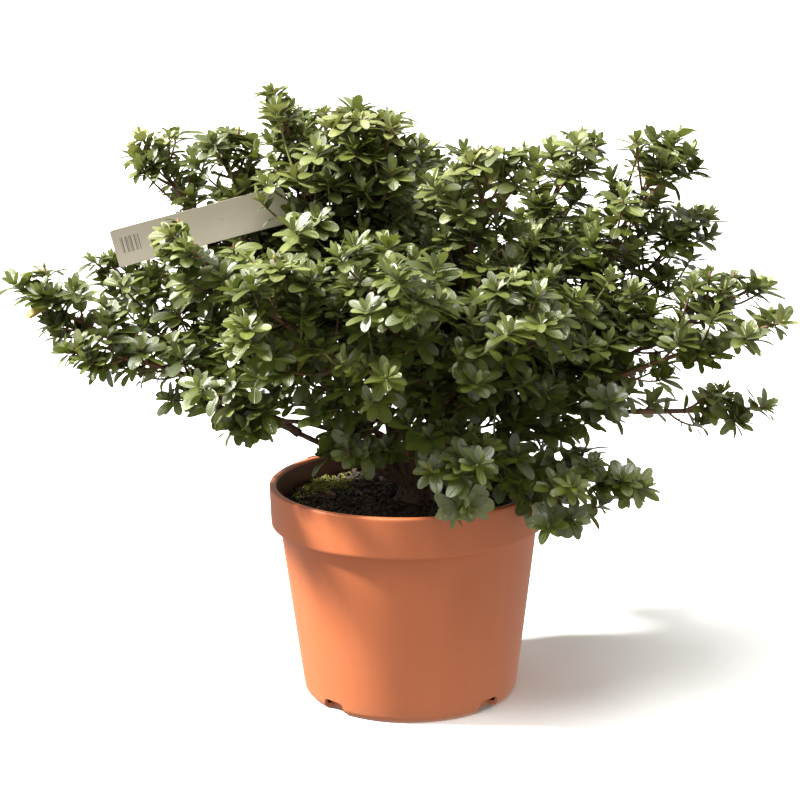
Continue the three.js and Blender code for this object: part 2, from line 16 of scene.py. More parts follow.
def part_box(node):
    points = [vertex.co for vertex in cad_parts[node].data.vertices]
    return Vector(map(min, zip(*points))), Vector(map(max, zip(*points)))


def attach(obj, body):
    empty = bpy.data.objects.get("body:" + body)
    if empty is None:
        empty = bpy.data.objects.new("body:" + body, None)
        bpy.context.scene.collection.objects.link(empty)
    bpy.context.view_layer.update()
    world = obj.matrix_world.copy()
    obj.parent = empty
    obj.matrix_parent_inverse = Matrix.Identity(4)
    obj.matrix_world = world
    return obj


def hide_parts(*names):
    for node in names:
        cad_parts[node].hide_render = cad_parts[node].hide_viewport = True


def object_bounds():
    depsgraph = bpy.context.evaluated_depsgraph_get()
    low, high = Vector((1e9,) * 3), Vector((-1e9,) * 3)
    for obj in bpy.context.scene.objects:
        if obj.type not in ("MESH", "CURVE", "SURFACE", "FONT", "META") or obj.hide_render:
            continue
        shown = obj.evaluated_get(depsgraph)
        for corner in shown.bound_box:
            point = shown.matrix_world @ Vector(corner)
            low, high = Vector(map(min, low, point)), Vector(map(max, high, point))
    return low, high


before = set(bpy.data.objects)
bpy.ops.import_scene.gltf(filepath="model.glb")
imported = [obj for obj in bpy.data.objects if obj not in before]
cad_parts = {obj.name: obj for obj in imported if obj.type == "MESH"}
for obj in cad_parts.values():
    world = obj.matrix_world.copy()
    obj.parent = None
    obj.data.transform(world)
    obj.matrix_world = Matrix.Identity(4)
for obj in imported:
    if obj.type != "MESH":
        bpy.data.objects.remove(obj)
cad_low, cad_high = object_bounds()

bl_info = {
    "name": "Potted Azalea Shrub",
    "version": (1, 0, 0),
    "blender": (4, 5, 0),
    "location": "3D View > Sidebar > Azalea",
    "description": "Builds an evergreen azalea shrub in its nursery pot, piece by piece",
    "category": "Object",
}

MM = 0.001
FULL_TURN = 2 * math.pi
GOLDEN_ANGLE = math.pi * (3 - math.sqrt(5))
UP = np.array([0.0, 0.0, 1.0])

POT_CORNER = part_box("pot")[1]
COLLAR_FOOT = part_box("root_collar")[0].z / MM

# Root collar and limbs, as in the solid frame
COLLAR_CENTRE = np.array([5.0, 0.0])
COLLAR_HEIGHT = 17.0
COLLAR_FORK_DEPTH = 6.0
COLLAR_FORK_RADIUS = 4.5
MAIN_RADIUS = 3.7
SIDE_RADIUS = 2.5
TIP_RADIUS = 2.1
SEAT_GAP = 0.3
ROSETTE_REACH = 22.0
FIRST_SEED = 101
FINE_SEED = 707

# Radii at the root and at the tip of each kind of shoot
LEADER_RADII = (TIP_RADIUS, 1.0)
TWIG_RADII = (1.15, 0.8)
SIDE_RADII = (0.85, 0.65)
INNER_RADII = (1.0, 0.7)

# Space of a mass of foliage, and how clear its twigs keep of all else
CHAIN_STEPS = 8
WOOD_STEPS = 10
SPACE_RIM = 8.0
SPACE_MARGIN = 1.6
SIDE_MARGIN = 0.4
LEAF_MARGIN = -1.5
LIMB_MARGIN = 1.4
RIM_MARGIN = 3.0
REACH_MARGIN = 6.0
LEAF_ROOM = 12.0
TOP_RISE = 9.0
WIDE_RISE = 24.0
WIDE_GIRTH = 45.0

# First twigs of a mass; pairs are a least value and its spread, or the values at two ends
TWIG_FRAMES = 16
TWIG_POINTS = 13
TWIG_SPACING = 25.0
FEWEST_TWIGS = 3
TWIG_SHARES = (0.08, 0.84)
TWIG_LEAN = 52.0
TWIG_LEAN_SPREAD = 14.0
TWIG_FULLNESS = (0.22, 0.8)
TWIG_LENGTHS = (0.8, 0.35)
TWIG_RISE = 0.3
TWIG_TRIES = (1.35, 1.15, 1.0, 0.72, 0.5)
TEST_SHARES = np.array([0.35, 0.7, 1.0])
LEADER_END = 5.0
BOLD_EVERY = 3
BOLD_SHARE = 0.22
SHY_RIM = -14.0

# Finer shoots of a twig
SIDE_SPACING = 9.0
SLIM_SPACING = 10.0
SLIM_GIRTH = 37.0
SIDE_SHARES = (0.16, 0.86)
SIDE_LEAN = (34.0, 30.0)
SIDE_LENGTH = (20.0, 22.0)
SIDE_RISE = 0.42
SIDE_TRIES = (1.0, 0.75, 0.55)
SIDE_SHORTEST = 9.0

# Leafy shoots on the boughs themselves
BOUGH_SPACING = 7.0
BOUGH_SHARES = (0.38, 0.9)
BOUGH_LENGTH = (26.0, 30.0)
LONG_SHOOT = 30.0
LOW_LIMB = 205.0
LOW_START = 0.66
BARE_WOOD = 0.42
BARE_BELOW = 195.0
BARE_BELOW_RIGHT = 158.0

# Each tone of leaf: how much brighter the light through it is, and how rough its face is
LEAF_LOOKS = {
    "dark": (2.7, 0.29),
    "deep": (2.6, 0.30),
    "middle": (2.4, 0.31),
    "fresh": (2.1, 0.32),
    "olive": (1.9, 0.35),
    "young": (1.4, 0.40),
    "yellow": (1.3, 0.45),
}
KINDS = tuple(LEAF_LOOKS)
OLIVE, YOUNG, YELLOW = (KINDS.index(kind) for kind in ("olive", "young", "yellow"))

# Shares of the first five tones on old shoots and on new ones, which stand high or far out
# The tones are partly new and old growth and partly painted light: paler high and far out,
# where light falls on the crown, and darker low and inside, as painted shade
SHADED_OLD_SHARES = np.array([0.30, 0.32, 0.26, 0.10, 0.02])
LIT_NEW_SHARES = np.array([0.05, 0.12, 0.25, 0.32, 0.26])
LIT_NEW_HEIGHTS = (300.0, 362.0)
LIT_NEW_REACHES = (185.0, 262.0)

# Leaf outline from foot to tip, and its fold across the midrib
LEAF_STATIONS = (0.0, 0.14, 0.34, 0.56, 0.76, 0.92, 1.0)
LEAF_HALF_WIDTHS = (0.04, 0.24, 0.43, 0.50, 0.46, 0.31, 0.10)
LEAF_ACROSS = (-1.0, 0.0, 1.0)
LEAF_PROFILE = (0.09, 0.0, 0.09)

# Whorls round the end of a shoot: number of leaves, place of the first behind the tip, step to the
# next, range of tilt in degrees, range of length, and width as a share of length
YOUNG_WHORL = (3, -0.6, 0.3, (8, 30), (6.5, 10.5), 0.38)
INNER_WHORL = (5, 1.0, 0.5, (26, 58), (11.5, 16.5), 0.45)
OUTER_WHORL = (8, 2.8, 0.75, (56, 94), (14.5, 21.5), (0.43, 0.54))

# Single leaves behind the whorls
SINGLE_STEPS = (4.4, 7.6)
SINGLE_TILTS = (56, 88)
SINGLE_LENGTHS = (10.5, 17.5)
SINGLE_WIDTHS = (0.52, 0.68)
BARE_FOOT = 0.2
BARE_LEADER_FOOT = 0.1

VIGOURS = (0.76, 1.03)
FINE_VIGOUR = 0.94
BRIGHT_SHARE = 0.3
YELLOW_SHARE = 0.006
LEAF_FRAMES = 12
TURN_SWAY = 0.25
WHORL_REACH = 9.5
WHORL_RISE = 0.65
SIDE_LEAF_RISE = 0.2
LEAF_LIFT = 0.12
FACE_LIFT = 0.45
FACE_SWAY = 0.45
FOOT_SHARE = 0.6
CURLS = (0.05, 0.75)
YOUNG_CURLS = (-0.5, 0.1)
LEAF_BEYOND = 8.0
LEAF_MIDDLE = 0.55
LEAF_TRIES = (1.0, 0.8, 0.62)

# Bark: the stump's radius by height, and how a bough swells at its root and tapers
STUMP_HEIGHTS = np.array([-3.0, 0, 1.5, 3.5, 6, 9, 12, 14.5, 16.2])
STUMP_RADII = np.array([14.5, 13.6, 12.2, 11.0, 10.0, 9.2, 8.9, 8.4, 6.6])
COLLAR_FLARE = 1.5
FORK_FLARE = 1.25
FLARE_LENGTHS = (9, 20)
BOUGH_TAPER = 0.68
BOUGH_OVERLAP = 1.5
BARK_STEP = 2.4

# How far the points that close a tube stand off its ends, as shares of its radius there
TUBE_FOOT = 0.2
TUBE_TIP = 0.6

# Turns a face over
FLIPPED = [0, 3, 2, 1]

# Finishes: heights in metres, the label's bars in millimetres from its far end and its middle
DUST = (0.36, 0.17, 0.10)
DUST_HEIGHT = 0.03
# Painted shade for the inner wall of the rim
PAINTED_INNER_SHADE = (0.035, 0.014, 0.008)
PALE_BARK = (0.17, 0.125, 0.085)
PLASTIC_IOR = 1.49
LEAF_IOR = 1.97
LIGHT_THROUGH = 0.14
VEINS = 58.0
VEIN_SLOPE = 0.55
BAR_ENDS = (5.0, 17.5)
BAR_MIDDLE = 1.0
BAR_HALF_HEIGHT = 5.2

# name, from, at, bearing, reach, height, arch, wood, girth: a limb runs from the root collar, or
# from its place `at` along another limb's bough, to the tip of its mass of foliage. The tip is
# given by bearing (degrees from +X), reach from the plant's axis and height above the ground.
# `arch` lifts its middle, `wood` is the share that is bare bough, `girth` the radius of its mass.
LIMB_ROWS = [
    ("far_left", "collar", 0, 187, 266, 295, -6, 0.46, 36),
    ("low_left", "far_left", 0.6, 195, 236, 252, 14, 0.3, 32),
    ("left", "far_left", 0.85, 175, 210, 302, 0, 0.25, 40),
    ("upper_left", "collar", 0, 162, 199, 384, -12, 0.42, 36),
    ("left_front", "upper_left", 0.55, 201, 168, 330, 8, 0.28, 46),
    ("top_left", "upper_left", 0.8, 171, 134, 388, -2, 0.25, 42),
    ("under_left", "collar", 0, 207, 138, 198, 22, 0.72, 34),
    ("top_tall", "collar", 0, 180, 92, 419, 4, 0.72, 26),
    ("top_middle", "top_tall", 0.5, 223, 29, 402, 0, 0.3, 52),
    ("top_back", "top_tall", 0.66, 135, 85, 398, 0, 0.3, 50),
    ("top_right_inner", "collar", 0, 308, 84, 381, 2, 0.42, 46),
    ("top_right_back", "top_right_inner", 0.5, 26, 132, 382, -14, 0.3, 38),
    ("top_right", "collar", 0, 8, 184, 384, -20, 0.36, 36),
    ("right_upper", "top_right", 0.6, 14, 208, 325, -8, 0.3, 41),
    ("right_far", "collar", 0, 352, 230, 286, 4, 0.44, 41),
    ("right_end", "right_far", 0.6, 346, 248, 266, 6, 0.3, 32),
    ("right_low", "right_far", 0.8, 355, 240, 200, -2, 0.42, 31),
    ("low_right", "collar", 0, 334, 167, 159, 10, 0.5, 30),
    ("over_rim", "low_right", 0.5, 315, 144, 142, 18, 0.3, 40),
    ("over_soil", "collar", 0, 232, 76, 176, 28, 0.34, 50),
    ("front_low", "collar", 0, 285, 128, 158, 40, 0.3, 46),
    ("front_left", "front_middle", 0.6, 228, 156, 295, 10, 0.22, 60),
    ("front_middle", "collar", 0, 264, 142, 316, 10, 0.3, 60),
    ("front_right", "front_middle", 0.62, 306, 155, 284, 12, 0.22, 60),
    ("back_left", "back_middle", 0.5, 136, 196, 304, 10, 0.3, 60),
    ("back_middle", "collar", 0, 84, 158, 352, 6, 0.4, 60),
    ("back_right", "back_middle", 0.6, 48, 194, 296, 10, 0.3, 60),
    ("back_low", "collar", 0, 66, 165, 218, 40, 0.36, 56),
]


def colour_property(name, description, default):
    return FloatVectorProperty(
        name=name, description=description, default=default, size=3, min=0, max=1, subtype="COLOR"
    )


def length_property(name, description, default):
    return FloatProperty(name=name, description=description, default=default, min=0, unit="LENGTH")


def power_property(name, description, default):
    return FloatProperty(name=name, description=description, default=default, min=0, unit="POWER")


def count_property(name, description, default):
    return IntProperty(name=name, description=description, default=default, min=0)


class PotSettings(bpy.types.PropertyGroup):
    height: length_property("Height", "Height of the pot", POT_CORNER.z)
    rim_radius: length_property("Rim radius", "Outer radius of the rim band", POT_CORNER.x)
    base_radius: length_property("Base radius", "Outer radius just above the base", 0.074)
    band_height: length_property("Band height", "Height of the rim band", 0.028)
    band_step: length_property("Band step", "How far the band stands out from the wall", 0.0065)
    lip_width: length_property("Lip width", "Width of the flat lip", 0.0048)
    wall: length_property("Wall", "Thickness of the wall", 0.0022)
    colour: colour_property("Colour", "Terracotta of the plastic", (0.552, 0.152, 0.055))
    faded: colour_property("Faded colour", "Where the plastic is paler", (0.592, 0.175, 0.068))


class SoilSettings(bpy.types.PropertyGroup):
    top: length_property("Top", "Height of the flat top of the soil", 0.135)
    chips: count_property("Chips", "Loose bits of bark and grit", 3000)
    strands: count_property("Strands", "Strands of moss and fibre", 520)
    dark: colour_property("Dark", "Damp potting mix", (0.010, 0.006, 0.004))
    light: colour_property("Light", "Dry crumbs", (0.048, 0.028, 0.016))
    chip: colour_property("Chip", "Pale bark chips", (0.26, 0.15, 0.08))
    moss: colour_property("Moss", "Moss at the back left", (0.30, 0.31, 0.05))


class StemSettings(bpy.types.PropertyGroup):
    bark: colour_property("Bark", "Ridges of the old bark", (0.15, 0.080, 0.050))
    furrow: colour_property("Furrow", "Furrows of the old bark", (0.040, 0.020, 0.013))
    twig: colour_property("Twig", "Brown twigs of last year", (0.17, 0.085, 0.045))
    shoot: colour_property("Shoot", "Green shoots of this year", (0.20, 0.20, 0.06))


class LeafSettings(bpy.types.PropertyGroup):
    # Dark and deep go low and inside, fresh and olive high and far out: partly painted shade and
    # light
    dark: colour_property("Dark green", "Oldest leaves", (0.046, 0.061, 0.007))
    deep: colour_property("Deep green", "Old leaves", (0.062, 0.079, 0.009))
    middle: colour_property("Middle green", "Most leaves", (0.095, 0.113, 0.015))
    fresh: colour_property("Fresh green", "Leaves of the outer shoots", (0.118, 0.138, 0.028))
    olive: colour_property("Olive green", "Leaves of the newest shoots", (0.148, 0.162, 0.038))
    young: colour_property("Young green", "Small leaves round the buds", (0.180, 0.208, 0.048))
    yellow: colour_property("Yellowing", "A few leaves about to fall", (0.34, 0.26, 0.04))
    bud: colour_property("Bud", "Buds at the ends of the shoots", (0.27, 0.24, 0.06))


class LabelSettings(bpy.types.PropertyGroup):
    length: length_property("Length", "Length of the strip", 0.118)
    width: length_property("Width", "Width of the strip", 0.025)
    thickness: length_property("Thickness", "Thickness of the strip", 0.0008)
    colour: colour_property("Colour", "Pale plastic", (0.56, 0.50, 0.41))
    bars: colour_property("Bars", "Plain bars at one end", (0.10, 0.095, 0.09))


class StageSettings(bpy.types.PropertyGroup):
    floor: colour_property("Floor", "Pale floor and backdrop", (0.90, 0.90, 0.90))
    key: power_property("Key light", "Power of the main lamp", 2800)
    overhead: power_property("Overhead light", "Power of the soft lamp above", 150)
    fill: FloatProperty(name="Fill light", description="Light all round", default=0.66, min=0)


# Lines and growth


def unit(vectors):
    return vectors / np.maximum(np.linalg.norm(vectors, axis=-1, keepdims=True), 1e-12)


def lerp(start, end, share):
    return start + (end - start) * share


def share_of(value, ends):
    """How far a value is from one end of a range to the other."""
    return (value - ends[0]) / (ends[1] - ends[0])


def spread(pair, draw):
    """A least value and its spread, by one random number from 0 to 1."""
    return pair[0] + pair[1] * draw


def around(turn):
    """The level direction at an angle from +X."""
    return np.array([math.cos(turn), math.sin(turn)])


def even_turns(count):
    return np.linspace(0, FULL_TURN, count, endpoint=False)


class Line:
    """A line through space, measured by its length."""

    def __init__(self, points):
        self.points = np.asarray(points, float)
        steps = np.linalg.norm(np.diff(self.points, axis=0), axis=1)
        self.lengths = np.concatenate([[0.0], np.cumsum(steps)])
        self.length = float(self.lengths[-1])

    def at(self, shares):
        along = np.clip(shares, 0, 1) * self.length
        return np.stack([np.interp(along, self.lengths, axis) for axis in self.points.T], axis=-1)

    def heading(self, shares):
        step = 1e-3
        ahead = self.at(np.minimum(np.asarray(shares) + step, 1))
        behind = self.at(np.maximum(np.asarray(shares) - step, 0))
        return unit(ahead - behind)

    def stretch(self, start, end, count=33):
        return Line(self.at(np.linspace(start, end, count) / self.length))

    def frames(self, steps):
        """At even steps: the heading, and two directions square to it that turn as it does."""
        headings = self.heading(np.linspace(0, 1, steps + 1))
        axis = np.zeros(3)
        axis[np.argmin(np.abs(headings[0]))] = 1
        normal = np.cross(headings[0], unit(np.cross(headings[0], axis)))
        normals = [normal]
        for before, after in zip(headings, headings[1:]):
            turn = Vector(before).rotation_difference(Vector(after))
            normal = np.array(turn @ Vector(normal))
            normals.append(normal)
        normals = np.array(normals)
        return headings, normals, np.cross(headings, normals)


def bent(start, middle, end, count=41):
    """A quadratic curve through space."""
    share = np.linspace(0, 1, count)[:, None]
    return Line((1 - share) ** 2 * start + 2 * share * (1 - share) * middle + share**2 * end)


def seeded(seed):
    """Random numbers that come out the same for one seed, here and in the solid frame."""
    state = seed

    def draw():
        nonlocal state
        state = (state + 0x6D2B79F5) & 0xFFFFFFFF
        value = state
        value = ((value ^ (value >> 15)) * (value | 1)) & 0xFFFFFFFF
        value ^= (value + (((value ^ (value >> 7)) * (value | 61)) & 0xFFFFFFFF)) & 0xFFFFFFFF
        return ((value ^ (value >> 14)) & 0xFFFFFFFF) / 4294967296

    return draw


class Limb:
    """One limb: a bare bough, and the leader of its mass of foliage beyond it."""

    def __init__(self, row):
        self.name, self.source, self.at, bearing, reach, height, self.arch, self.wood, girth = row
        self.girth = girth - LEAF_ROOM
        self.turn = math.radians(bearing)
        self.tip = np.array([*(COLLAR_CENTRE + reach * around(self.turn)), height])
        self.line = None

    def lay(self, named):
        if self.line is not None:
            return
        if self.source == "collar":
            flat = COLLAR_CENTRE + COLLAR_FORK_RADIUS * around(self.turn)
            start = np.array([*flat, COLLAR_FOOT + COLLAR_HEIGHT - COLLAR_FORK_DEPTH])
            self.root_radius = MAIN_RADIUS
        else:
            parent = named[self.source]
            parent.lay(named)
            start = parent.line.at(parent.wood * self.at)
            self.root_radius = SIDE_RADIUS
        middle = (start + self.tip) / 2 + UP * 2 * self.arch
        self.line = bent(start, middle, self.tip, 201)
        self.bough_end = self.wood * self.line.length
        leader_start = self.bough_end + SEAT_GAP
        self.leader = self.line.stretch(leader_start, self.line.length - ROSETTE_REACH)
        self.wood_line = self.line.stretch(0, self.bough_end)


def lay_limbs():
    limbs = [Limb(row) for row in LIMB_ROWS]
    named = {limb.name: limb for limb in limbs}
    for limb in limbs:
        limb.lay(named)
    return limbs


def chain_distances(points, chains):
    """Shortest distance from each point to each chain of straight stretches."""
    starts = chains[:, :-1]
    spans = chains[:, 1:] - starts
    offsets = points[:, None, None, :] - starts[None]
    share = (offsets * spans).sum(-1) / (spans * spans).sum(-1)
    away = offsets - np.clip(share, 0, 1)[..., None] * spans
    return np.sqrt((away * away).sum(-1)).min(-1)


class LabelPlace:
    """Where the label hangs: its ring round one bough, its strip running off to -X."""

    slope = math.radians(-13)
    turn = math.radians(8)
    lift = 9.0
    tail_length = 14.0
    tail_width = 7.0
    ring_gap = 0.45
    bough_share = 0.95
    margin = 4.0
    front_clear = 64.0
    front_rise = 0.2
    shown_share = 0.8
    crossed_at = 37.0
    crossed_width = 26.0

    def __init__(self, limbs, settings):
        host = next(limb for limb in limbs if limb.name == "top_tall")
        along = self.bough_share * host.bough_end
        centre = host.line.at(along / host.line.length)
        self.bough_heading = host.line.heading(along / host.line.length)
        radius = lerp(host.root_radius, TIP_RADIUS, along / host.bough_end)
        self.ring_inner = radius + self.ring_gap
        self.strip_start = self.ring_inner + self.tail_length
        self.length = settings.length / MM
        self.width = settings.width / MM
        self.thickness = settings.thickness / MM
        turn = Matrix.Rotation(self.turn, 4, "Z") @ Matrix.Rotation(self.slope, 4, "Y")
        self.pose = Matrix.Translation(Vector(centre)) @ turn

    def keeps_off(self, points):
        """Whether each point is clear of the strip and of the room in front of its face."""
        inverse = np.array(self.pose.inverted())
        local = points @ inverse[:3, :3].T + inverse[:3, 3]
        from_end = local[:, 0] + self.strip_start + self.length
        width = self.width / 2 + self.margin
        beside = (from_end > -self.margin) & (from_end < self.length + self.margin)
        level = np.abs(local[:, 2] - self.lift) < width
        touching = beside & level & (np.abs(local[:, 1]) < self.margin)
        before = (from_end > -self.margin) & (from_end < self.length * self.shown_share)
        before &= np.abs(from_end - self.crossed_at) > self.crossed_width / 2
        before &= np.abs(local[:, 2] - self.lift + local[:, 1] * self.front_rise) < width
        before &= (local[:, 1] < 0) & (local[:, 1] > -self.front_clear)
        return ~(touching | before)


class Space:
    """The stretch of space that each mass of foliage keeps to."""

    def __init__(self, limbs, label):
        self.limbs = limbs
        self.label = label
        self.girths = np.array([limb.girth for limb in limbs], float)
        shares = np.linspace(0, 1, CHAIN_STEPS + 1)
        self.leaders = np.array([limb.leader.at(shares) for limb in limbs])
        shares = np.linspace(0, 1, WOOD_STEPS + 1)
        self.woods = np.array([limb.wood_line.at(shares) for limb in limbs])
        self.wood_radii = np.array([limb.root_radius for limb in limbs])
        self.rim = POT_CORNER.x / MM + RIM_MARGIN
        self.rim_top = POT_CORNER.z / MM + RIM_MARGIN
        rise = np.where(self.girths > WIDE_GIRTH, WIDE_RISE, TOP_RISE)
        self.tops = self.leaders[:, :, 2].max(axis=1) + ROSETTE_REACH * 0.5 + rise
        self.low = np.array(cad_low) / MM - REACH_MARGIN
        self.high = np.array(cad_high) / MM + REACH_MARGIN

    def allows(self, points, index, margin=SPACE_MARGIN, beyond=0.0):
        """Whether each point is inside the space of one mass and clear of all else."""
        away = chain_distances(points, self.leaders) - self.girths
        own = away[:, index].copy()
        away[:, index] = np.inf
        inside = (own <= SPACE_RIM + beyond) & (away.min(axis=1) - own >= 2 * margin)
        inside &= points[:, 2] <= self.tops[index]
        return inside & self.clear(points)

    def clear(self, points):
        """Whether each point is clear of limbs, label, pot and soil, and within reach."""
        inside = (points >= self.low).all(axis=1) & (points <= self.high).all(axis=1)
        wood = chain_distances(points, self.woods) - self.wood_radii
        inside &= wood.min(axis=1) >= LIMB_MARGIN
        inside &= self.label.keeps_off(points)
        from_axis = np.hypot(points[:, 0], points[:, 1])
        inside &= (points[:, 2] >= self.rim_top) | (from_axis >= self.rim)
        return inside & (points[:, 2] > COLLAR_FOOT)


class Shoot:
    """A twig that carries leaves. `beyond` is how far past the girth of its mass it may reach,
    without end for a shoot that fills the inside of the crown."""

    def __init__(self, line, limb_index, root_radius, tip_radius, order, beyond):
        self.line = line
        self.limb_index = limb_index
        self.root_radius = root_radius
        self.tip_radius = tip_radius
        self.order = order
        self.beyond = beyond


def twig_line(parent, share, turn, lean, length, rise):
    """A twig leaves its parent at a share of its length, and bends up at its end."""
    headings, normals, binormals = parent.frames(TWIG_FRAMES)
    step = round(share * TWIG_FRAMES)
    side = normals[step] * math.cos(turn) + binormals[step] * math.sin(turn)
    heading = headings[step] * math.cos(lean) + side * math.sin(lean)
    root = parent.at(share)
    end = root + heading * length + UP * rise * length
    return bent(root, root + heading * length / 2, end, TWIG_POINTS)


def fitting_twig(parent, share, turn, lean, lengths, rise, fits):
    """The first of some lengths of a twig that fits, or none."""
    for length in lengths:
        line = twig_line(parent, share, turn, lean, length, rise)
        if fits(line.at(TEST_SHARES)).all():
            return line
    return None


def first_twigs(limb, index, space):
    """The twigs of a mass's leader by the rule of the solid frame: longest at its middle."""
    random = seeded(FIRST_SEED + index)
    count = max(FEWEST_TWIGS, round(limb.leader.length / TWIG_SPACING))
    first_turn = random() * FULL_TURN
    shoots = []
    for i in range(count):
        share = lerp(*TWIG_SHARES, i / (count - 1))
        turn = first_turn + i * GOLDEN_ANGLE
        lean = math.radians(TWIG_LEAN + TWIG_LEAN_SPREAD * (random() - 0.5))
        fullness = math.sin(math.pi * lerp(*TWIG_FULLNESS, share))
        full_length = limb.girth * fullness * spread(TWIG_LENGTHS, random())
        beyond = 0.0 if i % BOLD_EVERY == 1 else SHY_RIM
        lengths = [full_length * shortening for shortening in TWIG_TRIES]

        def fits(points):
            return space.allows(points, index, beyond=beyond)

        line = fitting_twig(limb.leader, share, turn, lean, lengths, TWIG_RISE, fits)
        if line:
            shoots.append(Shoot(line, index, *TWIG_RADII, 1, beyond))
    return shoots


def side_shoots(parent, random, space):
    """Finer shoots of a twig or leader, each a golden angle on from the last."""
    index = parent.limb_index
    spacing = SLIM_SPACING if space.limbs[index].girth < SLIM_GIRTH else SIDE_SPACING
    count = max(2, round(parent.line.length / spacing))
    turn = random.uniform(0, FULL_TURN)
    shoots = []
    for i in range(count):
        share = lerp(*SIDE_SHARES, i / (count - 1))
        turn += GOLDEN_ANGLE
        lean = math.radians(spread(SIDE_LEAN, random.random()))
        full_length = spread(SIDE_LENGTH, random.random())
        beyond = 0.0 if random.random() < BOLD_SHARE else SHY_RIM
        lengths = [full_length * shortening for shortening in SIDE_TRIES]
        lengths = [length for length in lengths if length >= SIDE_SHORTEST]
        if math.isinf(parent.beyond):
            beyond = math.inf

        def fits(points):
            if math.isinf(beyond):
                return space.clear(points)
            return space.allows(points, index, SIDE_MARGIN, beyond)

        line = fitting_twig(parent.line, share, turn, lean, lengths, SIDE_RISE, fits)
        if line:
            shoots.append(Shoot(line, index, *SIDE_RADII, parent.order + 1, beyond))
    return shoots


def bough_shoots(limb, index, random, space):
    """Leafy shoots on the upper part of a bough, which fill the inside of the crown."""
    low = limb.tip[2] < LOW_LIMB
    if low and limb.wood >= BARE_WOOD:
        return []
    shares = (LOW_START if low else BOUGH_SHARES[0], BOUGH_SHARES[1])
    count = round(limb.wood_line.length * (shares[1] - shares[0]) / BOUGH_SPACING)
    turn = random.uniform(0, FULL_TURN)
    shoots = []
    for i in range(count):
        share = lerp(*shares, (i + 0.5) / count)
        turn += GOLDEN_ANGLE
        lean = math.radians(spread(SIDE_LEAN, random.random()))
        full_length = spread(BOUGH_LENGTH, random.random())
        root = limb.wood_line.at(share)
        if root[2] < (BARE_BELOW if root[0] < COLLAR_CENTRE[0] else BARE_BELOW_RIGHT):
            continue
        lengths = [full_length * shortening for shortening in SIDE_TRIES]
        line = fitting_twig(limb.wood_line, share, turn, lean, lengths, SIDE_RISE, space.clear)
        if line:
            shoots.append(Shoot(line, index, *INNER_RADII, 1, math.inf))
    return shoots


def grow_shoots(limbs, space):
    shoots = []
    for index, limb in enumerate(limbs):
        random = np.random.default_rng(FINE_SEED + index)
        line = limb.line.stretch(limb.bough_end, limb.line.length - LEADER_END)
        leader = Shoot(line, index, *LEADER_RADII, 0, 0.0)
        twigs = [leader, *first_twigs(limb, index, space)]
        shoots += twigs
        for twig in twigs:
            shoots += side_shoots(twig, random, space)
        inner = bough_shoots(limb, index, random, space)
        shoots += inner
        for shoot in inner:
            if shoot.line.length > LONG_SHOOT:
                shoots += side_shoots(shoot, random, space)
    return shoots


# Leaves


class LeafShape:
    """The outline of a leaf as a strip of faces from its foot to its rounded tip."""

    def __init__(self):
        rows = len(LEAF_STATIONS)
        across = len(LEAF_ACROSS)
        self.along = np.repeat(LEAF_STATIONS, across)
        self.across = np.tile(LEAF_ACROSS, rows)
        self.half_width = np.repeat(LEAF_HALF_WIDTHS, across)
        self.hump = np.tile(LEAF_PROFILE, rows)
        corners = np.arange(rows * across).reshape(rows, across)
        self.faces = quads(corners[:-1, :-1], corners[1:, :-1], corners[1:, 1:], corners[:-1, 1:])
        self.uv = np.stack([self.across / 2 + 0.5, self.along], axis=-1)


def whorl_rows(shoot, random, kind):
    """Place behind the tip, tilt, length, width and tone for each leaf of one shoot."""
    rows = []
    vigour = random.uniform(*VIGOURS) * (1.0 if shoot.order < 2 else FINE_VIGOUR)
    count, first, step, tilts, lengths, width = YOUNG_WHORL
    for i in range(count):
        length = random.uniform(*lengths)
        rows.append((first + step * i, random.uniform(*tilts), length, length * width, YOUNG))
    count, first, step, tilts, lengths, width = INNER_WHORL
    for i in range(count):
        length = random.uniform(*lengths) * vigour
        tone = min(kind + 2, OLIVE) if random.random() < BRIGHT_SHARE else kind
        rows.append((first + step * i, random.uniform(*tilts), length, length * width, tone))
    count, first, step, tilts, lengths, widths = OUTER_WHORL
    for i in range(count):
        length = random.uniform(*lengths) * vigour
        tilt = random.uniform(*tilts)
        rows.append((first + step * i, tilt, length, length * random.uniform(*widths), kind))
    behind = WHORL_REACH
    bare = BARE_FOOT if shoot.order else BARE_LEADER_FOOT
    while behind < shoot.line.length * (1 - bare):
        length = random.uniform(*SINGLE_LENGTHS) * vigour
        tone = YELLOW if random.random() < YELLOW_SHARE else kind
        tilt = random.uniform(*SINGLE_TILTS)
        rows.append((behind, tilt, length, length * random.uniform(*SINGLE_WIDTHS), tone))
        behind += random.uniform(*SINGLE_STEPS)
    return rows


